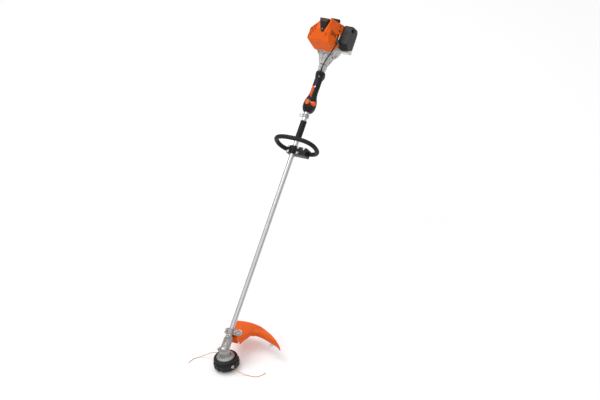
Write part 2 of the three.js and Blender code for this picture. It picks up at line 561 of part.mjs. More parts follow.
// ---------------------------------------------------------- control handle
function buildControlHandle() {
  const start = HANDLE_START;
  const end = HANDLE_END;
  const bulbEnd = start + 86;
  // outer and inner half profiles, as radius along the tube
  const outer = [
    [0, start], [BULB_RADIUS - 15, start], [BULB_RADIUS - 7, start + 8], [BULB_RADIUS - 1, start + 24],
    [BULB_RADIUS, start + 44],
    [BULB_RADIUS - 3, start + 62], [GRIP_RADIUS + 2, bulbEnd], [GRIP_RADIUS, bulbEnd + 16],
    [GRIP_RADIUS, end - 34], [GRIP_RADIUS + 4, end - 16], [GRIP_RADIUS + 5, end - 4],
    [GRIP_RADIUS + 2, end], [0, end],
  ];
  const w = HANDLE_WALL;
  const hollow = [
    [0, start + w], [BULB_RADIUS - 15 - w, start + w], [BULB_RADIUS - 7 - w, start + 9],
    [BULB_RADIUS - 1 - w, start + 24],
    [BULB_RADIUS - w, start + 44], [BULB_RADIUS - 3 - w, start + 61], [GRIP_RADIUS + 2 - w, bulbEnd - 1],
    [GRIP_RADIUS - w, bulbEnd + 15], [GRIP_RADIUS - w, end - 34], [GRIP_RADIUS + 4 - w, end - 17],
    [GRIP_RADIUS + 4 - w, end - w - 2], [0, end - w - 2],
  ];
  const rearHump = turned([
    [0, end - 42], [16, end - 38], [GRIP_RADIUS + 2, end - 24], [GRIP_RADIUS + 2, end - 12],
    [16, end - 2], [0, end - 1],
  ], ROUND).translate(0, -12, 0);
  const body = cut(join(turned(outer, ROUND).translate(0, -BULB_DROP, 0), rearHump),
    turned(hollow, ROUND).translate(0, -BULB_DROP, 0), bar(TUBE_RADIUS + GAP, start - 5, end + 5, ROUND));
  const cableHeight = TUBE_RADIUS + 5.3;
  // windows: lock-out on top, trigger below, stop button on top, dial on the left, cable at the rear
  const windows = [
    block(-6, 6, 8, 60, LOCKOUT_PIVOT - 5, LOCKOUT_PIVOT + 56),
    block(-7, 7, -60, -8, TRIGGER_PIVOT - 32, TRIGGER_PIVOT + 10),
    block(-11, 11, 8, 60, STOP_PLACE - 15, STOP_PLACE + 15),
    block(-60, -8, -1.5, 26, STOP_PLACE - 14, STOP_PLACE + 14),
    bar(4.4, end - 30, end + 10, SMALL).translate(-8, cableHeight, 0),
  ];
  const shell = cut(body, ...windows);
  place(tool, 'handle_left', meet(shell, block(-90, -GAP / 2, -90, 90, start - 5, end + 5)), BLACK);
  place(tool, 'handle_right', meet(shell, block(GAP / 2, 90, -90, 90, start - 5, end + 5)), BLACK);

  const under = -GRIP_RADIUS + 2;
  place(tool, 'throttle_trigger', sidePlate([
    [TRIGGER_PIVOT + 6, under], [TRIGGER_PIVOT - 6, under], [TRIGGER_PIVOT - 27, under - 3.5],
    [TRIGGER_PIVOT - 28, under - 18.5], [TRIGGER_PIVOT - 22, under - 24.5],
    [TRIGGER_PIVOT - 14, under - 17.5],
    [TRIGGER_PIVOT - 2, under - 12.5], [TRIGGER_PIVOT + 6, under - 9.5],
  ], -5.5, 5.5), ORANGE);
  const over = GRIP_RADIUS - 1;
  place(tool, 'throttle_lockout', sidePlate([
    [LOCKOUT_PIVOT - 2, over], [LOCKOUT_PIVOT + 50, over], [LOCKOUT_PIVOT + 52, over + 5.5],
    [LOCKOUT_PIVOT + 44, over + 9.5], [LOCKOUT_PIVOT + 14, over + 6.5], [LOCKOUT_PIVOT - 2, over + 3.5],
  ], -4.5, 4.5), ORANGE);
  place(tool, 'stop_button', plate(roundedRectangle(9.5, 13.5, 9, 5), BULB_RADIUS - 7.5, BULB_RADIUS + 3)
    .rotateX(-Math.PI / 2).translate(0, 0, STOP_PLACE), ORANGE);
  place(tool, 'speed_dial', bar(DIAL_RADIUS, TUBE_RADIUS + 2.3, BULB_RADIUS + 1.5, MEDIUM)
    .rotateY(-Math.PI / 2)
    .translate(0, 12, STOP_PLACE), ORANGE);
}

// ---------------------------------------------------------------- drive end
function buildClutch() {
  const neckEnd = NECK_START + NECK_LENGTH;
  const neckRadius = TUBE_RADIUS + 9.3;
  const clampRing = turned([
    [TUBE_RADIUS + GAP, NECK_START], [neckRadius - 4, NECK_START], [neckRadius - 2, NECK_START + 6],
    [neckRadius - 2, NECK_START + 14], [neckRadius, NECK_START + 18], [neckRadius, neckEnd],
    [TUBE_RADIUS + GAP, neckEnd],
  ], ROUND);
  place(tool, 'neck_clamp', clampRing, GREY);

  const w = HOUSING_WALL;
  const drumSpace = DRUM_RADIUS + 4;
  const outer = [
    [0, HOUSING_START], [neckRadius + 1, HOUSING_START], [neckRadius + 4, HOUSING_START + 22],
    [drumSpace + w, DRUM_START - 3],
    [HOUSING_RADIUS - 3, FAN_START - 4], [HOUSING_RADIUS, FAN_START + 6], [HOUSING_RADIUS, FAN_FACE],
    [0, FAN_FACE],
  ];
  const hollow = [
    [0, HOUSING_START + w], [14, HOUSING_START + w], [15, DRUM_START - 14], [drumSpace, DRUM_START - 1],
    [drumSpace, DRUM_START + DRUM_LENGTH], [HOUSING_RADIUS - 3 - w, FAN_START - 2],
    [HOUSING_RADIUS - w, FAN_START + 6], [HOUSING_RADIUS - w, FAN_FACE + 5], [0, FAN_FACE + 5],
  ];
  place(tool, 'clutch_housing', cut(turned(outer, FINE), turned(hollow, FINE),
    bar(SHAFT_RADIUS + 3, HOUSING_START - 5, HOUSING_START + 10, MEDIUM)), GREY);

  place(tool, 'clutch_drum', turned([
    [SHAFT_RADIUS + GAP, DRUM_START - 14], [9, DRUM_START - 14], [9, DRUM_START], [DRUM_RADIUS, DRUM_START],
    [DRUM_RADIUS, DRUM_START + DRUM_LENGTH], [DRUM_RADIUS - DRUM_WALL, DRUM_START + DRUM_LENGTH],
    [DRUM_RADIUS - DRUM_WALL, DRUM_START + 3], [SHAFT_RADIUS + GAP, DRUM_START + 3],
  ], ROUND), STEEL);

  const shoeFrom = DRUM_START + 5;
  const shoeTo = DRUM_START + DRUM_LENGTH - 2;
  const ringPiece = pipe(SHOE_RADIUS, 12, shoeFrom, shoeTo, ROUND);
  const half = (sign) => (sign > 0 ? block(2.5, 40, -40, 40, shoeFrom - 1, shoeTo + 1)
    : block(-40, -2.5, -40, 40, shoeFrom - 1, shoeTo + 1));
  [1, -1].forEach((sign, i) => {
    place(tool, `clutch_shoe_${'ab'[i]}`, meet(ringPiece, half(sign)), STEEL);
  });

  const blades = Array.from({ length: 14 }, (_, i) =>
    block(24, FAN_RADIUS, -1, 1, FAN_START + 5, FAN_FACE - 4).rotateZ((2 * Math.PI * i) / 14));
  place(tool, 'fan_wheel', join(turned([
    [9 + GAP, FAN_START], [FAN_RADIUS, FAN_START], [FAN_RADIUS, FAN_START + 6], [20, FAN_START + 6],
    [18, FAN_FACE - 4], [9 + GAP, FAN_FACE - 4],
  ], ROUND), ...blades), ALUMINIUM);
}

// --------------------------------------------------------- power assembly
function buildEngine() {
  const caseFrom = CYLINDER_PLACE - CASE_HALF;
  const caseTo = CYLINDER_PLACE + CASE_HALF;
  const web = ROD_WIDTH / 2 + 1;
  const upright = (geometry) => geometry.rotateX(-Math.PI / 2).translate(0, 0, CYLINDER_PLACE);

  // half crank: one web in front of the rod; the crankpin is part of the rod's node
  const webDisc = cut(bar(WEB_RADIUS, CYLINDER_PLACE - web - WEB_THICKNESS, CYLINDER_PLACE - web, ROUND),
    block(-30, -11, 4, 30, CYLINDER_PLACE - 30, CYLINDER_PLACE),
    block(11, 30, 4, 30, CYLINDER_PLACE - 30, CYLINDER_PLACE));
  place(tool, 'crankshaft', join(
    bar(7, shoeCentre() - 9, FAN_START - 1, MEDIUM), bar(9, FAN_START - 2, caseFrom + 8, MEDIUM),
    bar(8, caseFrom + 7, CYLINDER_PLACE - web - 1, MEDIUM), webDisc), STEEL);

  const bigEnd = bar(9, -ROD_WIDTH / 2, ROD_WIDTH / 2, MEDIUM).translate(0, CRANK_RADIUS, CYLINDER_PLACE);
  const smallEnd = bar(6.5, -ROD_WIDTH / 2, ROD_WIDTH / 2, MEDIUM).translate(0, WRIST_PIN, CYLINDER_PLACE);
  const shank = block(-3.5, 3.5, CRANK_RADIUS, WRIST_PIN, CYLINDER_PLACE - 3, CYLINDER_PLACE + 3);
  place(tool, 'connecting_rod', cut(join(bigEnd, smallEnd, shank),
    bar(4 + GAP, -20, 20, SMALL).translate(0, WRIST_PIN, CYLINDER_PLACE)), STEEL);

  const pistonRadius = BORE_RADIUS - 0.4;
  const skirtBottom = WRIST_PIN - 12;
  const crown = WRIST_PIN + 14;
  const pistonBody = cut(upright(bar(pistonRadius, skirtBottom, crown, ROUND)),
    upright(bar(pistonRadius - 2.5, skirtBottom - 1, crown - 4, MEDIUM)));
  place(tool, 'piston', join(pistonBody, bar(4, -pistonRadius + 1, pistonRadius - 1, SMALL)
    .translate(0, WRIST_PIN, CYLINDER_PLACE)), ALUMINIUM);

  const skirt = CASE_RADIUS - 5;
  const deck = CASE_RADIUS + 3 + GAP;         // where the cylinder stands on the case
  const finCount = 6;
  const lowestFin = CASE_RADIUS + 9;
  const fins = Array.from({ length: finCount }, (_, i) => {
    const y = lowestFin + (i * (CHAMBER_ROOF + 5 - lowestFin)) / (finCount - 1);
    return upright(plate(roundedRectangle(FIN_HALF, FIN_HALF - 2, 8, 1), y, y + 2.4));
  });
  const barrel = upright(bar(BORE_RADIUS + 5.5, deck, CHAMBER_ROOF + 8, ROUND));
  const sleeve = upright(bar(BORE_RADIUS + 3.5, skirt, CASE_RADIUS + 5, ROUND));
  const flange = upright(plate(roundedRectangle(BORE_RADIUS + 8.5, BORE_RADIUS + 8.5, 4, 1), deck, deck + 5));
  const bore = upright(bar(BORE_RADIUS, skirt - 5, CHAMBER_ROOF, ROUND));
  const plugHole = upright(bar(6 + GAP, CHAMBER_ROOF - 3, CHAMBER_ROOF + 20, SMALL));
  const portAt = (side) => bar(7, 10, 60, SMALL).rotateY((side * Math.PI) / 2)
    .translate(0, PORT_HEIGHT, CYLINDER_PLACE);
  const portHalf = 11.3;
  const ports = block(-PORT_FACE, PORT_FACE, deck, PORT_HEIGHT + 7.3,
    CYLINDER_PLACE - portHalf, CYLINDER_PLACE + portHalf);
  place(tool, 'cylinder', cut(join(barrel, sleeve, flange, ...fins, ports), bore, plugHole,
    portAt(-1), portAt(1)), ALUMINIUM);

  const caseOuter = join(bar(CASE_RADIUS, caseFrom, caseTo, ROUND),
    block(-BORE_RADIUS - 8.5, BORE_RADIUS + 8.5, 10, CASE_RADIUS + 3, caseFrom + 1, caseTo - 1));
  place(tool, 'crankcase', cut(caseOuter, bar(CASE_RADIUS - CASE_WALL, caseFrom + 4, caseTo - 4, ROUND),
    bar(9 + GAP, caseFrom - 5, CYLINDER_PLACE, MEDIUM), bar(8 + GAP, CYLINDER_PLACE, caseTo + 5, MEDIUM),
    upright(bar(BORE_RADIUS + 3.5 + GAP, 5, CASE_RADIUS + 10, ROUND))), ALUMINIUM);

  place(tool, 'spark_plug', join(upright(bar(6, CHAMBER_ROOF - 1, CHAMBER_ROOF + 9, SMALL)),
    upright(bar(9.5, CHAMBER_ROOF + 8 + GAP, CHAMBER_ROOF + 15, 6)),
    upright(bar(5, CHAMBER_ROOF + 14, CHAMBER_ROOF + 32, SMALL))), STEEL);

  const mufflerBody = plate(roundedRectangle(20, 26, 8, 3), PORT_FACE + GAP, SHROUD_RIGHT - 22)
    .rotateY(Math.PI / 2).translate(0, PORT_HEIGHT + 3.5, CYLINDER_PLACE - 4);
  place(tool, 'muffler', cut(mufflerBody, bar(7, 30, 60, SMALL).rotateY(Math.PI / 2)
    .translate(0, PORT_HEIGHT, CYLINDER_PLACE)), STEEL);
}

const shoeCentre = () => DRUM_START + DRUM_LENGTH / 2 + 2;

// ------------------------------------------------------ fuel and intake
const CAP_PLACE = [TANK_HALF_WIDTH, TANK_TOP - 28, TANK_BACK - 38];  // on the machine's right

function buildFuelTank() {
  const outline = [
    [TANK_FRONT, TANK_BOTTOM + 14], [TANK_FRONT + 12, TANK_BOTTOM], [TANK_BACK - 16, TANK_BOTTOM],
    [TANK_BACK, TANK_BOTTOM + 14], [TANK_BACK, TANK_TOP - 12], [TANK_BACK - 4, TANK_TOP - 12],
    [TANK_BACK - 4, TANK_TOP], [TANK_FRONT, TANK_TOP],
  ];
  const outlineInside = inset(outline, TANK_WALL);
  const across = roundedRectangle(TANK_HALF_WIDTH, (TANK_TOP - TANK_BOTTOM) / 2, 16, 3)
    .map(([x, y]) => [x, y + (TANK_TOP + TANK_BOTTOM) / 2]);
  const shell = (outer, section, grow) => meet(
    sidePlate(outer, -TANK_HALF_WIDTH - 9, TANK_HALF_WIDTH + 9),
    plate(section, TANK_FRONT - grow, TANK_BACK + grow),
  );
  const starterClear = bar(STARTER_RADIUS + 1, STARTER_START - 3, TANK_BACK + 10, FINE);
  const clearWall = 1 + TANK_WALL;
  const starterClearInside = bar(
    STARTER_RADIUS + clearWall, STARTER_START - 2 - clearWall, TANK_BACK + 10, FINE);
  const neck = bar(15, -8, 4, MEDIUM).rotateY(Math.PI / 2).translate(...CAP_PLACE);
  const neckBore = bar(12, -20, 10, MEDIUM).rotateY(Math.PI / 2).translate(...CAP_PLACE);
  place(tool, 'fuel_tank', cut(
    join(cut(shell(outline, across, 5), starterClear), neck),
    cut(shell(outlineInside, inset(across, TANK_WALL), 5), starterClearInside),
    neckBore,
  ), TANK);
  const capRibs = Array.from({ length: 2 }, (_, i) =>
    block(-CAP_RADIUS + 1, CAP_RADIUS - 1, -2, 2, 12, 16).rotateZ(i * Math.PI / 2));
  place(tool, 'fuel_cap', join(bar(11.4, -4, 5, MEDIUM), bar(CAP_RADIUS, 4 + GAP, 12, MEDIUM), ...capRibs)
    .rotateY(Math.PI / 2).translate(...CAP_PLACE), BLACK);
}

function buildIntake() {
  // carburettor between the cylinder's port and the air filter
  const portY = PORT_HEIGHT;
  const inner = -(PORT_FACE + GAP);
  const outer = -(COVER_INNER - 4);
  const body = block(outer, inner, portY - 15, portY + 13, CYLINDER_PLACE - 17, CYLINDER_PLACE + 17);
  const throat = bar(6, -inner - 5, COVER_INNER + 5, SMALL).rotateY(-Math.PI / 2)
    .translate(0, portY, CYLINDER_PLACE);
  const bowl = block(outer + 3, inner - 2, portY - 25, portY - 14, CYLINDER_PLACE - 13, CYLINDER_PLACE + 13);
  const leverPost = bar(3, portY + 12, portY + 16, SMALL).rotateX(-Math.PI / 2)
    .translate((inner + outer) / 2, 0, CYLINDER_PLACE);
  const flange = block(-COVER_INNER + GAP, outer + 1, portY - 26, portY + 16,
    CYLINDER_PLACE - 24, CYLINDER_PLACE + 24);
  const primerPocket = bar(8.5 + 2 * GAP, portY - 30, portY - 25 + PRIMER_TRAVEL + 1, MEDIUM)
    .rotateX(-Math.PI / 2)
    .translate((inner + outer) / 2, 0, CYLINDER_PLACE);
  place(tool, 'carburettor', cut(join(body, bowl, leverPost, flange), throat, primerPocket), ALUMINIUM);
  const lever = plate([[-4, -4], [4, -4], [4, 12], [-1, 16], [-4, 12]], 0, 2).rotateX(-Math.PI / 2)
    .translate((inner + outer) / 2, portY + 16 + GAP, CYLINDER_PLACE);
  place(tool, 'throttle_lever', lever, STEEL);
  place(tool, 'primer_bulb', turned([[0, -9], [4, -8.5], [7.5, -5], [8.5, 0], [0, 0]], MEDIUM)
    .rotateX(-Math.PI / 2).translate((inner + outer) / 2, portY - 25, CYLINDER_PLACE), RUBBER);

  // filter cover: an open tray facing the engine, with its back wall near the carburettor
  const across = [
    [-COVER_INNER, COVER_TOP], [-COVER_OUTER, COVER_TOP], [-COVER_OUTER - 0.5, COVER_BOTTOM + 12],
    [-COVER_OUTER + 12, COVER_BOTTOM], [-COVER_INNER, COVER_BOTTOM],
  ];
  const side = [
    [COVER_FRONT + 28, COVER_TOP + 2], [COVER_FRONT, 20], [COVER_FRONT + 20, COVER_BOTTOM + 6],
    [COVER_FRONT + 30, COVER_BOTTOM - 2], [COVER_BACK - 28, COVER_BOTTOM - 2],
    [COVER_BACK, COVER_BOTTOM + 24],
    [COVER_BACK, COVER_TOP - 6], [COVER_BACK - 8, COVER_TOP + 2],
  ];
  const outside = meet(plate(across, COVER_FRONT - 5, COVER_BACK + 5),
    sidePlate(side, -COVER_OUTER - 5, COVER_OUTER + 5));
  const hollow = meet(plate(inset(across, 3), COVER_FRONT - 5, COVER_BACK + 5),
    sidePlate(inset(side, 3), -COVER_OUTER - 5, COVER_OUTER + 5));
  const mouth = block(-COVER_INNER - 4, -COVER_INNER + 5, portY - 22, COVER_TOP - 8,
    CYLINDER_PLACE - 20, CYLINDER_PLACE + 60);
  const knobBore = bar(4 + GAP, COVER_OUTER - 10, COVER_OUTER + 10, SMALL).rotateY(-Math.PI / 2)
    .translate(0, 27, COVER_BACK - 18);
  place(tool, 'filter_cover', cut(outside, hollow, mouth, knobBore), BLACK);
  place(tool, 'filter_knob', join(
    bar(4, COVER_OUTER - 8, COVER_OUTER + 2, SMALL),
    bar(9, COVER_OUTER + 1, COVER_OUTER + 8, SMALL),
    block(-2.5, 2.5, -9, 9, COVER_OUTER + 7, COVER_OUTER + 11)).rotateY(-Math.PI / 2)
    .translate(0, 27, COVER_BACK - 18), BLACK);

  // throttle cable, held by the handle at one end and the intake at the other
  const cable = smooth([
    [-8, TUBE_RADIUS + 5.3, HANDLE_END - 24], [-8, TUBE_RADIUS + 5.3, HANDLE_END - 2],
    [-11, TUBE_RADIUS + 12.3, HANDLE_END + 14], [-26, 44, HOUSING_START + 8],
    [-49, 60, HOUSING_START + 44], [-63, 68, CYLINDER_PLACE - 49], [-71, 71, CYLINDER_PLACE - 29],
    [-72, 69, CYLINDER_PLACE - 14], [-70, portY + 21, CYLINDER_PLACE - 3],
  ]);
  place(tool, 'throttle_cable', rodAlong(cable, 3, 8, 22), RUBBER);
}

// ------------------------------------------------------------- engine covers
const plugOutline = (clear) => [
  [-26 - clear, SHROUD_BACK - 8], [-8 - clear, SHROUD_BACK - 68], [0, SHROUD_BACK - 72 - clear],
  [6 + clear, SHROUD_BACK - 68], [24 + clear, SHROUD_BACK - 8],
];

function buildCovers() {
  // shroud: section across, met with the profile from the side, hollowed and open below
  const section = [
    [SHROUD_RIGHT, 6], [SHROUD_RIGHT, SHROUD_TOP - 56], [SHROUD_RIGHT - 16, SHROUD_TOP - 20],
    [24, SHROUD_TOP],
    [-26, SHROUD_TOP], [-38, SHROUD_TOP - 6], [-SHROUD_LEFT, 56], [-SHROUD_LEFT, 6],
  ];
  const profile = [
    [SHROUD_FRONT + 4, 40], [SHROUD_FRONT, 60], [SHROUD_FRONT + 34, SHROUD_TOP - 18],
    [SHROUD_FRONT + 88, SHROUD_TOP], [SHROUD_BACK - 4, SHROUD_TOP], [SHROUD_BACK, SHROUD_TOP - 6],
    [SHROUD_BACK, 6], [FAN_FACE + GAP, 6], [FAN_FACE + GAP, 40],
  ];
  // seen from above: the front corners and the right rear corner are cut away
  const plan = [
    [-38, SHROUD_FRONT], [44, SHROUD_FRONT], [SHROUD_RIGHT, SHROUD_FRONT + 52],
    [SHROUD_RIGHT, SHROUD_FRONT + 76],
    [30, SHROUD_BACK - 20], [16, SHROUD_BACK],
    [-SHROUD_LEFT, SHROUD_BACK], [-SHROUD_LEFT, SHROUD_FRONT + 38],
  ];
  const lowSection = (d) => {
    const points = inset(section, d);
    return points.map(([x, y]) => (y < 30 ? [x, y - 4 * d] : [x, y]));
  };
  const lowProfile = (d) => {
    const points = inset(profile, d);
    return points.map(([z, y]) => (y < 50 ? [z, y - 14 * d] : [z, y]));
  };
  const outside = meet(plate(section, SHROUD_FRONT - 5, SHROUD_BACK + 5),
    sidePlate(profile, -SHROUD_LEFT - 20, SHROUD_RIGHT + 20), topPiece(plan, -10, SHROUD_TOP + 10));
  const inside = meet(plate(lowSection(SHROUD_WALL), SHROUD_FRONT - 5, SHROUD_BACK + 5),
    sidePlate(lowProfile(SHROUD_WALL), -SHROUD_LEFT - 20, SHROUD_RIGHT + 20),
    topPiece(inset(plan, SHROUD_WALL), -70, SHROUD_TOP + 10));
  const fanClear = bar(HOUSING_RADIUS + GAP, SHROUD_FRONT - 20, FAN_FACE + 2, FINE);
  const starterClear = bar(STARTER_RADIUS + GAP, STARTER_START - 2, SHROUD_BACK + 20, FINE);
  const plugWindow = topPiece(plugOutline(1), SHROUD_TOP - 12, SHROUD_TOP + 20);
  const carbWindow = block(-SHROUD_LEFT - 30, -SHROUD_LEFT + 32, 0, PORT_HEIGHT + 23.5,
    CYLINDER_PLACE - 24, CYLINDER_PLACE + 24);
  place(tool, 'shroud', cut(outside, inside, fanClear, starterClear, plugWindow, carbWindow), ORANGE);
  // its top rises towards the back
  const plugSide = sidePlate([
    [SHROUD_BACK - 80, SHROUD_TOP - 10], [SHROUD_BACK, SHROUD_TOP - 10],
    [SHROUD_BACK, SHROUD_TOP + PLUG_RISE], [SHROUD_BACK - 24, SHROUD_TOP + PLUG_RISE],
    [SHROUD_BACK - 62, SHROUD_TOP + 3], [SHROUD_BACK - 80, SHROUD_TOP + 2],
  ], -60, 60);
  place(tool, 'plug_cover', meet(
    topPiece(plugOutline(0), SHROUD_TOP - 10, SHROUD_TOP + PLUG_RISE), plugSide), BLACK);

  const w = 3;
  const s0 = STARTER_START;
  const s1 = STARTER_START + STARTER_LENGTH;
  const outer = [
    [0, s0], [STARTER_RADIUS, s0], [STARTER_RADIUS, s1 - 12], [STARTER_RADIUS - 14, s1], [0, s1],
  ];
  const hollow = [[0, s0 - 5], [STARTER_RADIUS - w, s0 - 5], [STARTER_RADIUS - w, s1 - 13],
    [STARTER_RADIUS - 15, s1 - w], [0, s1 - w]];
  const ropeHole = bar(3, -30, 30, SMALL).rotateX(-degrees(GRIP_TILT))
    .translate(GRIP_PLACE, STARTER_RADIUS - 6, s1 - 8);
  place(tool, 'starter_housing', cut(turned(outer, FINE), turned(hollow, FINE), ropeHole), BLACK);
  // rope pulley on the stub that turns the crank through the rear of the case
  const stubStart = CYLINDER_PLACE + ROD_WIDTH / 2 + 1;
  place(tool, 'starter_pulley', turned([
    [0, stubStart], [WEB_RADIUS, stubStart], [WEB_RADIUS, stubStart + WEB_THICKNESS],
    [8, stubStart + WEB_THICKNESS], [8, s0 + 4], [PULLEY_RADIUS, s0 + 4], [PULLEY_RADIUS, s0 + 6],
    [PULLEY_RADIUS - 4, s0 + 9], [PULLEY_RADIUS, s0 + 12], [PULLEY_RADIUS, s0 + 14], [0, s0 + 14],
  ], ROUND), BLACK);
  place(tool, 'starter_grip', plate(roundedRectangle(26, 8.5, 8, 4), -7, 7)
    .rotateX(-degrees(GRIP_TILT)).translate(GRIP_PLACE, STARTER_RADIUS + 16, s1 + 10.5), BLACK);
}

buildHead();
buildGearbox();
buildDriveLine();
buildDeflector();
buildLoopHandle();
buildControlHandle();
buildClutch();
buildEngine();
buildFuelTank();
buildIntake();
buildCovers();

export default machine;
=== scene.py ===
"""Brush mower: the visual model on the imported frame."""
import json
import math

import bmesh
import bpy
from mathutils import Matrix, Vector


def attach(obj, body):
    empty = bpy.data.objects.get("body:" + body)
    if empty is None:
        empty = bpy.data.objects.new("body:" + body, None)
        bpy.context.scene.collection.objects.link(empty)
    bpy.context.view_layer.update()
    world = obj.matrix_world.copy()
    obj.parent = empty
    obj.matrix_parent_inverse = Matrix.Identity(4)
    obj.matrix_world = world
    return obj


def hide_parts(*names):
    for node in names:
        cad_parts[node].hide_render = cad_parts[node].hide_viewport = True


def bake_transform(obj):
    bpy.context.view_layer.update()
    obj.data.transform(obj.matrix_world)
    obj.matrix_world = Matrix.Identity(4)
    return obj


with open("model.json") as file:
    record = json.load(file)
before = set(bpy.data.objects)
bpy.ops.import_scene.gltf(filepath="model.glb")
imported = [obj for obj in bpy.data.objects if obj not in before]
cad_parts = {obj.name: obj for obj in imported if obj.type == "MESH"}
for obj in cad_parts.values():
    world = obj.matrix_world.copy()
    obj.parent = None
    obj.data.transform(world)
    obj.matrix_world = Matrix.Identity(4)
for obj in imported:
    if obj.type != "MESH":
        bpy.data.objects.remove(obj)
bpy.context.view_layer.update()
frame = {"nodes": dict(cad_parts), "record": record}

MM = 0.001
TUBE_ANGLE = math.radians(35)
GEAR_HEIGHT = 97
HEAD = Matrix.Scale(MM, 4)
COS_TUBE, SIN_TUBE = math.cos(TUBE_ANGLE), math.sin(TUBE_ANGLE)
# x to the machine's right, y up from the tube, z along the tube
TOOL = HEAD @ Matrix((
    (-1, 0, 0, 0), (0, -SIN_TUBE, COS_TUBE, 0), (0, COS_TUBE, SIN_TUBE, GEAR_HEIGHT), (0, 0, 0, 1),
))

# places along the tube and sizes, in mm, as in the CAD
TUBE_RADIUS, TUBE_START, TUBE_END = 12.7, 56, 1468
LOOP_START, LOOP_ROD, LOOP_HALF_WIDTH, LOOP_HALF_HEIGHT = 1042, 11, 108, 70
LOOP_OFFSET, LOOP_LEAN, LOOP_BASE = 30, math.radians(12), -26.7
LOOP_POWER = 0.8  # squarer than an ellipse
HOSE_START, HOSE_END, HOSE_RADIUS = 1098, 1195, 15.5
HANDLE_END, GRIP_RADIUS = 1454, 19.5
NECK_START, HOUSING_START, DRUM_START, FAN_START, FAN_FACE = 1458, 1492.3, 1536.3, 1562.3, 1586.3
CYLINDER_PLACE, STARTER_START, STARTER_LENGTH, STARTER_RADIUS = 1615.3, 1652.3, 42, 50
SHROUD_TOP, SHROUD_BACK = 128, 1692.3
HOUSING_RADIUS = 62
GUARD_TOP, GUARD_RADIUS, GUARD_TIP, GUARD_CROWN = 96, 236, 34, 9
EYELET_ANGLES = {"a": math.radians(-31), "b": math.radians(149)}
EYELET_HEIGHT = 36
GRIP_PLACE, GRIP_TILT = (-20, 66, STARTER_START + STARTER_LENGTH + 10.5), math.radians(50)
ROPE_RADIUS = 1.9
TANK_CAP_PLACE, FILTER_KNOB_PLACE, DIAL_PLACE = (80, -70, 1652.3), (0, 27, 1680.3), (0, 12, 1286)


# ---------------------------------------------------------------- camera
def make_camera():
    azimuth, elevation, roll = math.radians(35.4), math.radians(35), math.radians(10)
    distance, view_width = 20.0, 2.88
    aim_across, aim_above = 0.3485, 0.7982
    sin_a, cos_a = math.sin(azimuth), math.cos(azimuth)
    sin_e, cos_e = math.sin(elevation), math.cos(elevation)
    level = Vector((cos_a, sin_a, 0))
    up = Vector((-sin_a * sin_e, cos_a * sin_e, cos_e))
    back = Vector((sin_a * cos_e, -cos_a * cos_e, sin_e))
    across = level * math.cos(roll) - up * math.sin(roll)
    above = level * math.sin(roll) + up * math.cos(roll)
    place = across * aim_across + above * aim_above + back * distance
    data = bpy.data.cameras.new("camera")
    data.lens = data.sensor_width * distance / view_width
    data.clip_end = 200
    camera = bpy.data.objects.new("camera", data)
    turn = Matrix((across, above, back)).transposed().to_4x4()
    camera.matrix_world = Matrix.Translation(place) @ turn
    bpy.context.collection.objects.link(camera)
    bpy.context.scene.camera = camera


make_camera()


# -------------------------------------------------------------- materials
DUST_COLOUR = (0.42, 0.38, 0.32)
GLOSS_SPREAD, GRAIN_HEIGHT = 0.08, 0.0004


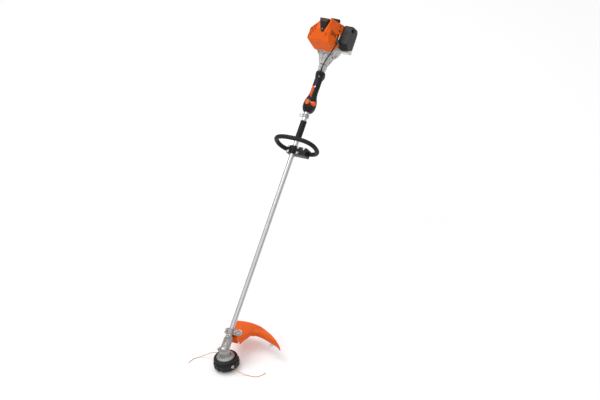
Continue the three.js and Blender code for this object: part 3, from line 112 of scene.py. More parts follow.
def shader(name, colour, roughness, metallic=0.0, grain=0.0, grain_scale=900, vary=0.06, wear=0.0,
           wear_colour=(0.6, 0.6, 0.6), streak=None, subsurface=0.0, dust=0.0, specular=0.5):
    """A surface with uneven colour and gloss, a fine grain, worn edges and patches of dust."""
    material = bpy.data.materials.new(name)
    material.use_nodes = True
    nodes, links = material.node_tree.nodes, material.node_tree.links
    main = nodes["Principled BSDF"]
    main.inputs["Metallic"].default_value = metallic
    main.inputs["Specular IOR Level"].default_value = specular
    main.inputs["Subsurface Weight"].default_value = subsurface
    main.inputs["Subsurface Scale"].default_value = 0.004
    place = nodes.new("ShaderNodeTexCoord").outputs["Object"]
    if streak:
        mapping = nodes.new("ShaderNodeMapping")
        mapping.vector_type = "TEXTURE"
        mapping.inputs["Rotation"].default_value = (math.radians(-55), 0, 0)
        mapping.inputs["Scale"].default_value = (1, 1, streak)
        links.new(place, mapping.inputs["Vector"])
        place = mapping.outputs["Vector"]

    def noise(scale, detail, rough=0.55):
        node = nodes.new("ShaderNodeTexNoise")
        node.inputs["Scale"].default_value = scale
        node.inputs["Detail"].default_value = detail
        node.inputs["Roughness"].default_value = rough
        links.new(place, node.inputs["Vector"])
        return node.outputs["Fac"]

    def spread(source, low, high, start=0.3, end=0.7):
        node = nodes.new("ShaderNodeMapRange")
        node.inputs["From Min"].default_value = start
        node.inputs["From Max"].default_value = end
        node.inputs["To Min"].default_value = low
        node.inputs["To Max"].default_value = high
        links.new(source, node.inputs["Value"])
        return node.outputs["Result"]

    def mix(factor, first, second):
        node = nodes.new("ShaderNodeMix")
        node.data_type = "RGBA"
        links.new(factor, node.inputs["Factor"])
        for socket, value in ((node.inputs[6], first), (node.inputs[7], second)):
            if isinstance(value, tuple):
                socket.default_value = (*value, 1)
            else:
                links.new(value, socket)
        return node.outputs[2]

    dark = tuple(value * (1 - vary) for value in colour)
    light = tuple(min(1, value * (1 + vary) + vary * 0.02) for value in colour)
    paint = mix(spread(noise(28, 4), 0, 1), dark, light)
    if dust:
        paint = mix(spread(noise(60, 6, 0.7), 0, dust, 0.5, 0.75), paint, DUST_COLOUR)
    if wear:
        geometry = nodes.new("ShaderNodeNewGeometry")
        edge = spread(geometry.outputs["Pointiness"], 0, wear, 0.53, 0.62)
        paint = mix(edge, paint, wear_colour)
    links.new(paint, main.inputs["Base Color"])
    gloss = spread(noise(140, 5, 0.65), roughness - GLOSS_SPREAD, roughness + GLOSS_SPREAD)
    links.new(gloss, main.inputs["Roughness"])
    if grain:
        bump = nodes.new("ShaderNodeBump")
        bump.inputs["Strength"].default_value = grain
        bump.inputs["Distance"].default_value = GRAIN_HEIGHT
        links.new(noise(grain_scale, 2), bump.inputs["Height"])
        links.new(bump.outputs["Normal"], main.inputs["Normal"])
    return material


LOOKS = {
    "orange_plastic": shader("orange_plastic", (0.84, 0.12, 0.001), 0.42, grain=0.12, grain_scale=1400,
                             vary=0.05, wear=0.06, wear_colour=(0.95, 0.3, 0.06), specular=0.28),
    "black_plastic": shader("black_plastic", (0.0085, 0.008, 0.0085), 0.42, grain=0.35, grain_scale=1300,
                            vary=0.2, wear=0.2, wear_colour=(0.06, 0.055, 0.055), dust=0.01, specular=0.3),
    "rubber": shader("rubber", (0.0095, 0.0075, 0.0075), 0.6, grain=0.6, grain_scale=1000, vary=0.25,
                     wear=0.15, wear_colour=(0.05, 0.045, 0.045), dust=0.01, specular=0.3),
    "grey_plastic": shader("grey_plastic", (0.56, 0.545, 0.54), 0.45, grain=0.3, grain_scale=1100, vary=0.07,
                           wear=0.25, wear_colour=(0.85, 0.85, 0.84), dust=0.1),
    "cast_aluminium": shader("cast_aluminium", (0.4, 0.39, 0.38), 0.4, metallic=0.85, grain=0.7,
                             grain_scale=800, vary=0.12, wear=0.5, wear_colour=(0.9, 0.9, 0.89), dust=0.18),
    "tube_aluminium": shader("tube_aluminium", (0.66, 0.66, 0.67), 0.2, metallic=0.9, grain=0.12,
                             grain_scale=900, vary=0.05, streak=30, dust=0.02),
    "steel": shader("steel", (0.5, 0.5, 0.51), 0.3, metallic=1.0, grain=0.2, grain_scale=1200, vary=0.12,
                    wear=0.3, wear_colour=(0.85, 0.85, 0.85), dust=0.08),
    "spool_plastic": shader("spool_plastic", (0.72, 0.26, 0.05), 0.4, grain=0.2, vary=0.1),
    "trimmer_line": shader("trimmer_line", (0.62, 0.2, 0.035), 0.3, grain=0.1, vary=0.1, subsurface=0.2),
    "tank_plastic": shader("tank_plastic", (0.74, 0.72, 0.66), 0.42, grain=0.2, grain_scale=900, vary=0.05,
                           subsurface=0.35, dust=0.08),
}
SLOT_OF = {row["node"]: row["material_slot"] for row in frame["record"]["subparts"]}
BODY_OF = {node: body for body, names in frame["record"]["behaviour"]["bodies"].items() for node in names}
for node, thing in frame["nodes"].items():
    thing.data.materials.clear()
    thing.data.materials.append(LOOKS[SLOT_OF[node]])


# ------------------------------------------------------------ mesh helpers
def mesh_object(name, verts, faces, space):
    data = bpy.data.meshes.new(name)
    data.from_pydata([space @ Vector(v) for v in verts], [], faces)
    thing = bpy.data.objects.new(name, data)
    bpy.context.collection.objects.link(thing)
    shape = bmesh.new()
    shape.from_mesh(data)
    bmesh.ops.recalc_face_normals(shape, faces=shape.faces)
    shape.to_mesh(data)
    shape.free()
    return thing


def turned(profile, sides, wave=None):
    """Verts and faces turned about z from (radius, z) pairs; wave scales a radius by angle and index."""
    verts, rows = [], []
    for index, (radius, z) in enumerate(profile):
        if radius == 0:
            rows.append([len(verts)] * sides)
            verts.append((0, 0, z))
            continue
        rows.append(list(range(len(verts), len(verts) + sides)))
        for k in range(sides):
            angle = 2 * math.pi * k / sides
            r = radius * (wave(angle, index) if wave else 1)
            verts.append((r * math.cos(angle), r * math.sin(angle), z))
    if profile[0][0] and profile[-1][0]:
        rows.append(rows[0])
    faces = []
    for low, high in zip(rows, rows[1:]):
        for k in range(sides):
            corners = [low[k], low[(k + 1) % sides], high[(k + 1) % sides], high[k]]
            corners = list(dict.fromkeys(corners))
            if len(corners) > 2:
                faces.append(corners)
    return verts, faces


def prism(outline, z0, z1):
    count = len(outline)
    verts = [(x, y, z0) for x, y in outline] + [(x, y, z1) for x, y in outline]
    faces = [list(range(count)), list(range(count, 2 * count))]
    faces += [[i, (i + 1) % count, count + (i + 1) % count, count + i] for i in range(count)]
    return verts, faces


def box(x0, x1, y0, y1, z0, z1):
    return prism([(x0, y0), (x1, y0), (x1, y1), (x0, y1)], z0, z1)


def rod(radius, z0, z1, sides):
    return turned([(0, z0), (radius, z0), (radius, z1), (0, z1)], sides)


def moved(shape, matrix):
    verts, faces = shape
    return [tuple(matrix @ Vector(v)) for v in verts], faces


def gathered(*shapes):
    verts, faces = [], []
    for more, rows in shapes:
        start = len(verts)
        verts.extend(more)
        faces.extend([[i + start for i in row] for row in rows])
    return verts, faces


def at(x, y, z):
    return Matrix.Translation((x, y, z))


def about(axis, angle):
    return Matrix.Rotation(angle, 4, axis)


def pointing(place, direction):
    """A matrix that takes +z to direction at place."""
    return Matrix.Translation(place) @ Vector(direction).to_track_quat("Z", "Y").to_matrix().to_4x4()


def ringed(shape, degrees):
    """Copies of a shape turned about z, one for each angle."""
    return [moved(shape, about("Z", math.radians(angle))) for angle in degrees]


def notched(count, depth):
    """A knurl: shallow notches in the rim, which is a profile's rows 3 to 5."""
    return lambda angle, index: 1 - (depth if index in (3, 4, 5) and math.cos(count * angle) < 0 else 0)


def applied(thing):
    depsgraph = bpy.context.evaluated_depsgraph_get()
    data = bpy.data.meshes.new_from_object(thing.evaluated_get(depsgraph))
    thing.modifiers.clear()
    thing.data = data
    return thing


def boolean(thing, shape, space, crossing=False):
    tool = mesh_object("tool", *shape, space)
    modifier = thing.modifiers.new("cut", "BOOLEAN")
    modifier.operation = "DIFFERENCE"
    modifier.solver = "EXACT"
    modifier.use_self = crossing
    modifier.object = tool
    applied(thing)
    bpy.data.objects.remove(tool)
    return thing


def remeshed(thing, voxel, rounds):
    """One skin of even quads, its edges softened as a moulding's are."""
    modifier = thing.modifiers.new("skin", "REMESH")
    modifier.mode = "VOXEL"
    modifier.voxel_size = voxel * MM
    soften = thing.modifiers.new("soften", "SMOOTH")
    soften.factor = 0.5
    soften.iterations = rounds
    return applied(thing)


def bevelled(thing, width):
    shape = bmesh.new()
    shape.from_mesh(thing.data)
    bmesh.ops.remove_doubles(shape, verts=shape.verts, dist=0.02 * MM)
    bmesh.ops.dissolve_limit(shape, angle_limit=math.radians(1.5), verts=shape.verts, edges=shape.edges)
    shape.to_mesh(thing.data)
    shape.free()
    modifier = thing.modifiers.new("bevel", "BEVEL")
    modifier.width = width * MM
    modifier.segments = 2
    modifier.limit_method = "ANGLE"
    modifier.angle_limit = math.radians(30)
    modifier.use_clamp_overlap = True
    return applied(thing)


def shaded(thing, angle):
    for polygon in thing.data.polygons:
        polygon.use_smooth = True
    thing.data.set_sharp_from_angle(angle=math.radians(angle))


def done(thing, body, slot, *nodes, angle=40):
    thing.data.materials.clear()
    thing.data.materials.append(LOOKS[slot])
    shaded(thing, angle)
    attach(thing, body)
    if nodes:
        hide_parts(*nodes)
    return thing


def piece(name, shape, space, body, slot, *nodes, bevel=0.0, angle=40):
    thing = mesh_object(name, *shape, space)
    if bevel:
        bevelled(thing, bevel)
    return done(thing, body, slot, *nodes, angle=angle)


def from_node(node, name):
    thing = bpy.data.objects.new(name, frame["nodes"][node].data.copy())
    bpy.context.collection.objects.link(thing)
    return thing


def with_shape(thing, shape, space):
    """The piece's mesh with more closed shapes in it, for a later remesh to join."""
    extra = mesh_object("extra", *shape, space)
    joined = bmesh.new()
    joined.from_mesh(thing.data)
    joined.from_mesh(extra.data)
    joined.to_mesh(thing.data)
    joined.free()
    bpy.data.objects.remove(extra)
    return thing


def screw(place, direction, radius, height):
    """A cap screw's head with its socket, and a washer under it."""
    head = turned([(0, -3), (radius, -3), (radius, height - 0.6), (radius - 0.6, height),
                   (radius * 0.52, height), (radius * 0.5, height - 1.6), (0, height - 1.6)], 28)
    washer = turned([(radius * 0.9, -1), (radius * 1.35, -1), (radius * 1.35, 0.3), (radius * 0.9, 0.3)], 28)
    return moved(gathered(head, washer), pointing(place, direction))


def curve_points(points, steps=8):
    """A centripetal curve through the points, as the CAD draws it."""
    pts = [Vector(p) for p in points]
    pts = [pts[0] * 2 - pts[1], *pts, pts[-1] * 2 - pts[-2]]
    out = []
    for i in range(1, len(pts) - 2):
        p0, p1, p2, p3 = pts[i - 1:i + 3]
        t0 = 0.0
        t1 = t0 + (p1 - p0).length ** 0.5
        t2 = t1 + (p2 - p1).length ** 0.5
        t3 = t2 + (p3 - p2).length ** 0.5
        for k in range(steps):
            t = t1 + (t2 - t1) * k / steps
            a1 = p0 * ((t1 - t) / (t1 - t0)) + p1 * ((t - t0) / (t1 - t0))
            a2 = p1 * ((t2 - t) / (t2 - t1)) + p2 * ((t - t1) / (t2 - t1))
            a3 = p2 * ((t3 - t) / (t3 - t2)) + p3 * ((t - t2) / (t3 - t2))
            b1 = a1 * ((t2 - t) / (t2 - t0)) + a2 * ((t - t0) / (t2 - t0))
            b2 = a2 * ((t3 - t) / (t3 - t1)) + a3 * ((t - t1) / (t3 - t1))
            out.append(b1 * ((t2 - t) / (t2 - t1)) + b2 * ((t - t1) / (t2 - t1)))
    out.append(pts[-2])
    return out


def curve_object(name, points, radius):
    data = bpy.data.curves.new(name, "CURVE")
    data.dimensions = "3D"
    data.bevel_depth = radius
    data.bevel_resolution = 6
    data.use_fill_caps = True
    spline = data.splines.new("POLY")
    spline.points.add(len(points) - 1)
    for point, place in zip(spline.points, points):
        point.co = (*place, 1)
    thing = bpy.data.objects.new(name, data)
    bpy.context.collection.objects.link(thing)
    return thing


# ------------------------------------------------------ the cutting lines
LINE_DIAMETER = 0.0027
LINE_A = [
    (0.0407, -0.0245, 0.036), (0.048, -0.0289, 0.036), (0.0566, -0.034, 0.036), (0.068, -0.0395, 0.034),
    (0.08, -0.042, 0.0285), (0.092, -0.0405, 0.02), (0.104, -0.037, 0.0115), (0.12, -0.033, 0.005),
    (0.138, -0.0305, 0.00195), (0.152, -0.0295, 0.00155), (0.167, -0.0285, 0.00155), (0.18, -0.024, 0.00155),
    (0.191, -0.014, 0.00155), (0.2, 0, 0.00155), (0.206, 0.016, 0.00155),
]
LINE_B = [
    (-0.0407, 0.0245, 0.036), (-0.048, 0.0289, 0.036), (-0.0566, 0.034, 0.036), (-0.07, 0.0395, 0.035),
    (-0.086, 0.041, 0.032), (-0.102, 0.0385, 0.028), (-0.117, 0.034, 0.023), (-0.132, 0.0285, 0.017),
    (-0.147, 0.023, 0.0105), (-0.161, 0.017, 0.0045), (-0.173, 0.01, 0.00195), (-0.183, 0, 0.00155),
    (-0.189, -0.013, 0.00155), (-0.193, -0.028, 0.00155), (-0.1949, -0.043, 0.00155),
]
for name, route in (("trimmer_line_a", LINE_A), ("trimmer_line_b", LINE_B)):
    points = curve_points(route)
    line = curve_object("cutting_" + name[8:], points, LINE_DIAMETER / 2)
    line.data.materials.append(LOOKS["trimmer_line"])
    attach(line, "head")
    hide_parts(name)


# ------------------------------------------------------------ mowing head
def lobes(count, depth, first, last):
    """A ring of finger hollows over the profile's rows first to last."""
    def wave(angle, index):
        if first <= index <= last:
            return 1 - depth * (0.5 + 0.5 * math.cos(count * angle)) ** 2
        return 1
    return wave


def make_head():
    shell = turned([
        (0, 24.3), (58, 24.3), (62.5, 24.5), (63.7, 25.4), (64, 27), (64, 30), (63.9, 34), (63.6, 37.5),
        (62.6, 40), (60.5, 42), (57.8, 43.6), (56, 44.8), (55, 46.4), (55, 48), (56, 49.4), (57.4, 50.6),
        (58, 52.4), (58, 55), (57.4, 57.4), (56.2, 59), (54.4, 59.9), (50, 60), (40, 60), (38.5, 59),
        (20, 59), (0, 59),
    ], 192, lobes(12, 0.055, 2, 9))
    piece("head_shell_skin", shell, HEAD, "head", "black_plastic", "head_shell")
    ribs = ringed(box(57.5, 58.6, -1.1, 1.1, 51.5, 57.5), range(0, 360, 10))
    vents = ringed(box(42, 52, -1.5, 1.5, 59.6, 60.0), range(0, 360, 20))
    piece("head_shell_ribs", gathered(*ribs, *vents), HEAD, "head", "black_plastic", bevel=0.25)
    cover = turned([
        (25.2, 8.6), (25, 6.2), (25.4, 5), (30, 4.2), (40, 3.2), (45, 3), (50, 3.6), (55, 5.5), (58.5, 8.2),
        (61.2, 11.4), (63, 15), (63.8, 19), (64, 22.6), (63.6, 23.8), (62.5, 24), (60, 24), (57.5, 16),
        (52, 10.5), (44, 8),
    ], 192, lobes(12, 0.05, 6, 13))
    piece("head_cover_skin", cover, HEAD, "head", "black_plastic", "head_cover")
    latches = ringed(gathered(box(61, 64.4, -6, 6, 14, 22), box(62, 65.2, -3.5, 3.5, 16, 20)), (59, 239))
    piece("head_latches", gathered(*latches), HEAD, "head", "black_plastic", bevel=0.6)
    knob = turned([
        (0, 0), (10, 0), (13.5, 0.2), (16, 0.8), (18.6, 1.9), (20.8, 4), (22.4, 6.6), (23, 9), (23, 14),
        (22.8, 16), (21.5, 17.4), (18, 18), (9.5, 18), (9.5, 34), (5, 34), (5, 8), (0, 8),
    ], 120, lobes(10, 0.07, 4, 10))
    piece("bump_knob_skin", knob, HEAD, "bump", "black_plastic", "bump_knob")
    for letter, angle in EYELET_ANGLES.items():
        eyelet = turned([
            (1.7, 47.5), (5, 47.5), (5.4, 60), (5.8, 63.6), (7, 64.6), (7.5, 65.6), (7, 66.5), (5, 66.8),
            (3.2, 66.2), (2.2, 64.4), (1.7, 62),
        ], 40)
        turn = about("Z", angle) @ at(0, 0, EYELET_HEIGHT) @ about("Y", math.pi / 2)
        piece("eyelet_" + letter, moved(eyelet, turn), HEAD, "head", "steel", "line_eyelet_" + letter)
    dish = turned([
        (6.4, 64.2), (27.4, 64.2), (27.4, 73.6), (28, 74.3), (30, 74.3), (31, 73.4), (32.6, 71), (35.5, 68.6),
        (39, 66.6), (42, 64.6), (43.6, 62.6), (44, 61.4), (44, 60.3), (6.4, 60.3),
    ], 128)
    piece("thrust_dish", dish, HEAD, "head", "cast_aluminium", "thrust_plate")


# ---------------------------------------------------------------- gearbox
def make_gearbox():
    upright = turned([
        (0, 67.4), (24, 67.4), (26, 67.8), (26, 72), (25.4, 73), (23.4, 74.4), (23.6, 80), (25, 91), (25, 96),
        (24, 104), (21.5, 110), (16, 116), (8, 119), (0, 119),
    ], 72)
    tube_turn = HEAD.inverted() @ TOOL
    socket = turned([
        (0, -8), (19, -8), (21, 0), (21, 24), (19, 31), (17.6, 36), (17.4, 62), (18.4, 64), (18.4, 72),
        (17.4, 74), (0, 74),
    ], 64)
    fins = ringed(box(14, 21.4, -1.3, 1.3, 6, 62), range(30, 390, 60))
    clamp = box(-6.5, 6.5, 14, 24.5, 58, 74)
    boss = moved(turned([(0, 0), (13, 0), (13, 28), (11.5, 30), (0, 30)], 48),
                 at(0, 0, GEAR_HEIGHT) @ about("Y", -math.pi / 2))
    left_boss = moved(turned([(0, 0), (12, 0), (12, 23), (10.5, 24.5), (0, 24.5)], 48),
                      at(0, 0, GEAR_HEIGHT) @ about("Y", math.pi / 2))
    bands = [turned([(20, z), (26.2, z), (26.2, z + 1.8), (20, z + 1.8)], 64) for z in (77, 82, 87)]
    body = mesh_object("gearbox_casting", *gathered(
        upright, boss, left_boss, *bands,
        *[moved(shape, tube_turn) for shape in (socket, clamp, *fins)]), HEAD)
    remeshed(body, 0.9, 4)
    done(body, "root", "cast_aluminium", "gearbox_housing")
    nut = turned([
        (0, 30.3), (9, 30.3), (9.4, 31), (9.4, 31.8), (8.6, 32),
        (8.2, 34.4), (7.6, 35), (4.2, 35), (4, 33), (0, 33),
    ], 6)
    plug = gathered(rod(5.8, 26, 31, 32), nut, turned([(5, 30.2), (10.4, 30.2), (10.4, 31), (5, 31)], 48))
    piece("filler_plug", moved(plug, at(0, 0, GEAR_HEIGHT) @ about("Y", -math.pi / 2)), HEAD, "root", "steel",
          "gearbox_plug", bevel=0.3)
    screws = gathered(screw((-6.5, 20, 66), (-1, 0, 0), 3.4, 3.6),
                      moved(screw((0, 0, 24.5), (0, 0, 1), 4.2, 2.6),
                            tube_turn.inverted() @ at(0, 0, GEAR_HEIGHT) @ about("Y", math.pi / 2)))
    piece("gearbox_screws", screws, TOOL, "root", "steel")


# --------------------------------------------------------------- deflector
def guard_edge(angle):
    """The deflector's outer radius, which grows towards its tip."""
    return GUARD_RADIUS + GUARD_TIP * max(0, (60 - math.degrees(angle)) / 36) ** 1.5


def crowned(guard):
    """Lift the middle of the deflector's roof, less towards the tip and the clamp."""
    inner_edge = [
        (31, 97), (34, 120), (42, 146), (58, 167), (84, 174), (128, 163), (171, 147), (211, 133), (241, 112),
    ]
    inner_polar = sorted((math.atan2(y, x), math.hypot(x, y)) for x, y in inner_edge)
    last = math.radians(84)
    for vertex in guard.data.vertices:
        x, y, z = (value / MM for value in vertex.co)
        angle, radius = math.atan2(y, x), math.hypot(x, y)
        if not inner_polar[0][0] < angle < min(inner_polar[-1][0], last) or z < 70:
            continue
        near = next(i for i, (a, _) in enumerate(inner_polar) if a > angle)
        (a0, r0), (a1, r1) = inner_polar[near - 1:near + 1]
        low = r0 + (r1 - r0) * (angle - a0) / (a1 - a0)
        across = min(1, max(0, (radius - low) / (guard_edge(angle) - low)))
        fade = math.sin(math.pi * min(1, (last - angle) / math.radians(60)))
        vertex.co.z += MM * GUARD_CROWN * math.sin(math.pi * across) * max(0, fade)


def make_deflector():
    guard = from_node("deflector", "deflector_skin")
    ridges = []
    for angle in (48, 62, 76, 90):
        start = 202 if angle < 70 else 142
        ridges += ringed(box(start, 226, -1.2, 1.2, GUARD_TOP - 1, GUARD_TOP + 1.2), [angle])
    rim = []
    for k in range(29):
        angle = math.radians(30 + 81 * k / 28)
        radius = guard_edge(angle) - 3.5
        rim.append((radius * math.cos(angle), radius * math.sin(angle)))
    inner_rim = [(x * 0.985, y * 0.985) for x, y in reversed(rim)]
    with_shape(guard, gathered(*ridges, prism(rim + inner_rim, GUARD_TOP - 1, GUARD_TOP + 1.5)), HEAD)
    remeshed(guard, 1.1, 4)
    crowned(guard)
    done(guard, "root", "orange_plastic", "deflector")
    blade = from_node("line_cutter", "cutter_blade")
    bevelled(blade, 0.5)
    done(blade, "root", "steel", "line_cutter")
    clamp = from_node("guard_clamp", "guard_clamp_casting")
    lobe_rib = turned([(6.5, 0), (10, 0), (10, 5.2), (6.5, 5.2)], 32)
    with_shape(clamp, moved(lobe_rib, at(-47, 4.5, 100) @ about("X", -math.pi / 2)), TOOL)
    remeshed(clamp, 0.7, 3)
    done(clamp, "root", "cast_aluminium", "guard_clamp")
    for letter in "ab":
        bolt = from_node("guard_bolt_" + letter, "clamp_screw_" + letter)
        boolean(bolt, moved(rod(2.6, 7.6, 14, 6),
                            at(-24 if letter == "a" else 24, 0, 97) @ about("X", -math.pi / 2)), TOOL)
        bevelled(bolt, 0.4)
        done(bolt, "root", "steel", "guard_bolt_" + letter)


# -------------------------------------------------- tube, loop handle, hose
def loop_point(angle):
    c, s = math.cos(angle), math.sin(angle)
    x = -LOOP_OFFSET + LOOP_HALF_WIDTH * math.copysign(abs(c) ** LOOP_POWER, c)
    rise = LOOP_HALF_HEIGHT + LOOP_HALF_HEIGHT * math.copysign(abs(s) ** LOOP_POWER, s)
    return (x, LOOP_BASE + rise * math.cos(LOOP_LEAN), LOOP_START + rise * math.sin(LOOP_LEAN))


def swept(points, radius, sides):
    """A round bar along points, with its rings carried along the path without twist."""
    verts, faces = [], []
    normal = None
    for i, place in enumerate(points):
        ahead = (points[min(i + 1, len(points) - 1)] - points[max(i - 1, 0)]).normalized()
        if normal is None:
            normal = ahead.orthogonal().normalized()
        normal = (normal - ahead * normal.dot(ahead)).normalized()
        side = ahead.cross(normal)
        r = radius(i / (len(points) - 1)) if callable(radius) else radius
        for k in range(sides):
            angle = 2 * math.pi * k / sides
            verts.append(tuple(place + normal * (r * math.cos(angle)) + side * (r * math.sin(angle))))
    for i in range(len(points) - 1):
        for k in range(sides):
            a, b = i * sides + k, i * sides + (k + 1) % sides
            faces.append([a, b, b + sides, a + sides])
    faces.append(list(range(sides)))
    faces.append(list(range(len(verts) - sides, len(verts))))
    return verts, faces


def make_front():
    bore = TUBE_RADIUS - 1.5
    tube = turned([
        (bore, TUBE_START), (TUBE_RADIUS - 0.4, TUBE_START), (TUBE_RADIUS, TUBE_START + 0.4),
        *[(TUBE_RADIUS, TUBE_START + (TUBE_END - TUBE_START) * k / 24) for k in range(1, 24)],
        (TUBE_RADIUS, TUBE_END - 0.4), (TUBE_RADIUS - 0.4, TUBE_END), (bore, TUBE_END),
    ], 96)
    piece("drive_tube_skin", tube, TOOL, "root", "tube_aluminium", "drive_tube")

    count = 150
    start, end = math.radians(-87), math.radians(267)
    route = [Vector(loop_point(start + (end - start) * k / count)) for k in range(count + 1)]
    piece("loop_grip", swept(route, LOOP_ROD, 36), TOOL, "root", "rubber", "loop_handle", angle=60)

    base_to = LOOP_START + 20
    for node, name in (("loop_clamp_lower", "clamp_block_lower"), ("loop_clamp_upper", "clamp_block_upper")):
        clamp = from_node(node, name)
        remeshed(clamp, 0.7, 3)
        done(clamp, "root", "black_plastic", node)
    for letter in "ab":
        bolt = from_node("loop_bolt_" + letter, "loop_screw_" + letter)
        x = -26 if letter == "a" else 26
        boolean(bolt, moved(rod(2.8, 13, 20, 6), at(x, 0, base_to - 7) @ about("X", -math.pi / 2)), TOOL)
        bevelled(bolt, 0.5)
        done(bolt, "root", "steel", "loop_bolt_" + letter)
    extra = [screw((x, 15.2 if x < -50 else 10.2, z), (0, 1, 0), 4.6, 2.6)
             for x, z in ((-58, base_to - 8), (-26, LOOP_START - 12), (26, LOOP_START - 12))]
    piece("loop_extra_screws", gathered(*extra), TOOL, "root", "steel")

    profile = [(TUBE_RADIUS + 0.3, HOSE_START), (HOSE_RADIUS - 1, HOSE_START), (HOSE_RADIUS, HOSE_START + 1)]
    place = HOSE_START + 6
    while place < HOSE_END - 8:
        profile += [(HOSE_RADIUS, place), (HOSE_RADIUS - 0.7, place + 0.5), (HOSE_RADIUS - 0.7, place + 1.3),
                    (HOSE_RADIUS, place + 1.8)]
        place += 5.2
    profile += [(HOSE_RADIUS, HOSE_END - 1), (HOSE_RADIUS - 1, HOSE_END), (TUBE_RADIUS + 0.3, HOSE_END)]
    piece("hose_grip_skin", turned(profile, 72), TOOL, "root", "rubber", "hose_grip")

    eyelet = from_node("harness_eyelet", "harness_clamp")
    bands = [turned([(14, z), (17.6, z), (17.6, z + 3), (14, z + 3)], 64) for z in (1214, 1226)]
    with_shape(eyelet, gathered(*bands), TOOL)
    remeshed(eyelet, 0.6, 2)
    done(eyelet, "root", "cast_aluminium", "harness_eyelet")
    piece("harness_screw", screw((13, 4.5, 1222), (0, 1, 0), 3.2, 3), TOOL, "root", "steel")


# ---------------------------------------------------------- control handle
def make_handle():
    for side, name in (("handle_left", "grip_half_left"), ("handle_right", "grip_half_right")):
        half = from_node(side, name)
        sign = -1 if side == "handle_left" else 1
        grooves = [box(sign * (18.4 - 0.5 * k), sign * 40, -12 + 4.4 * k, -10.2 + 4.4 * k, 1362, 1414)
                   for k in range(5)]
        pits = [moved(rod(4.2, 16, 60, 28), at(0, y, z) @ about("Y", sign * math.pi / 2))
                for y, z in ((-14, 1300), (3, 1352))]
        cuts = [*grooves, *pits] if sign > 0 else grooves
        boolean(half, gathered(*cuts), TOOL)
        remeshed(half, 0.9, 4)
        done(half, "root", "black_plastic", side)
    heads = [screw(place, (1, 0, 0), 3, 1.4) for place in ((GRIP_RADIUS - 3.8, 3, 1352), (24, -14, 1300))]
    piece("grip_screws", gathered(*heads), TOOL, "root", "steel")
    for node, name in (("throttle_trigger", "trigger_lever"), ("throttle_lockout", "lockout_lever")):
        part = from_node(node, name)
        remeshed(part, 0.5, 5)
        done(part, BODY_OF[node], "orange_plastic", node)
    button = from_node("stop_button", "stop_button_cap")
    remeshed(button, 0.5, 4)
    done(button, "stop", "orange_plastic", "stop_button")
    dial = turned([
        (0, 15), (9, 15), (11.4, 15.4), (12, 18), (12, 30),
        (11.4, 32.6), (9.6, 34.2), (7, 34.5), (5, 33.2), (0, 33),
    ], 96, notched(24, 0.035))
    marker = box(-1, 1, 3, 10, 33, 34.4)
    piece("dial_cap", moved(gathered(dial, marker), at(*DIAL_PLACE) @ about("Y", -math.pi / 2)), TOOL, "dial",
          "orange_plastic", "speed_dial")
    boot = turned([
        (3.4, 0), (5.4, 0), (5.4, 4), (4.6, 5), (5.2, 6.4), (4.4, 8), (5, 9.4), (4, 11.5), (3.4, 12),
    ], 32)
    piece("cable_boot", moved(boot, at(-8, 18, HANDLE_END - 5)), TOOL, "root", "rubber")


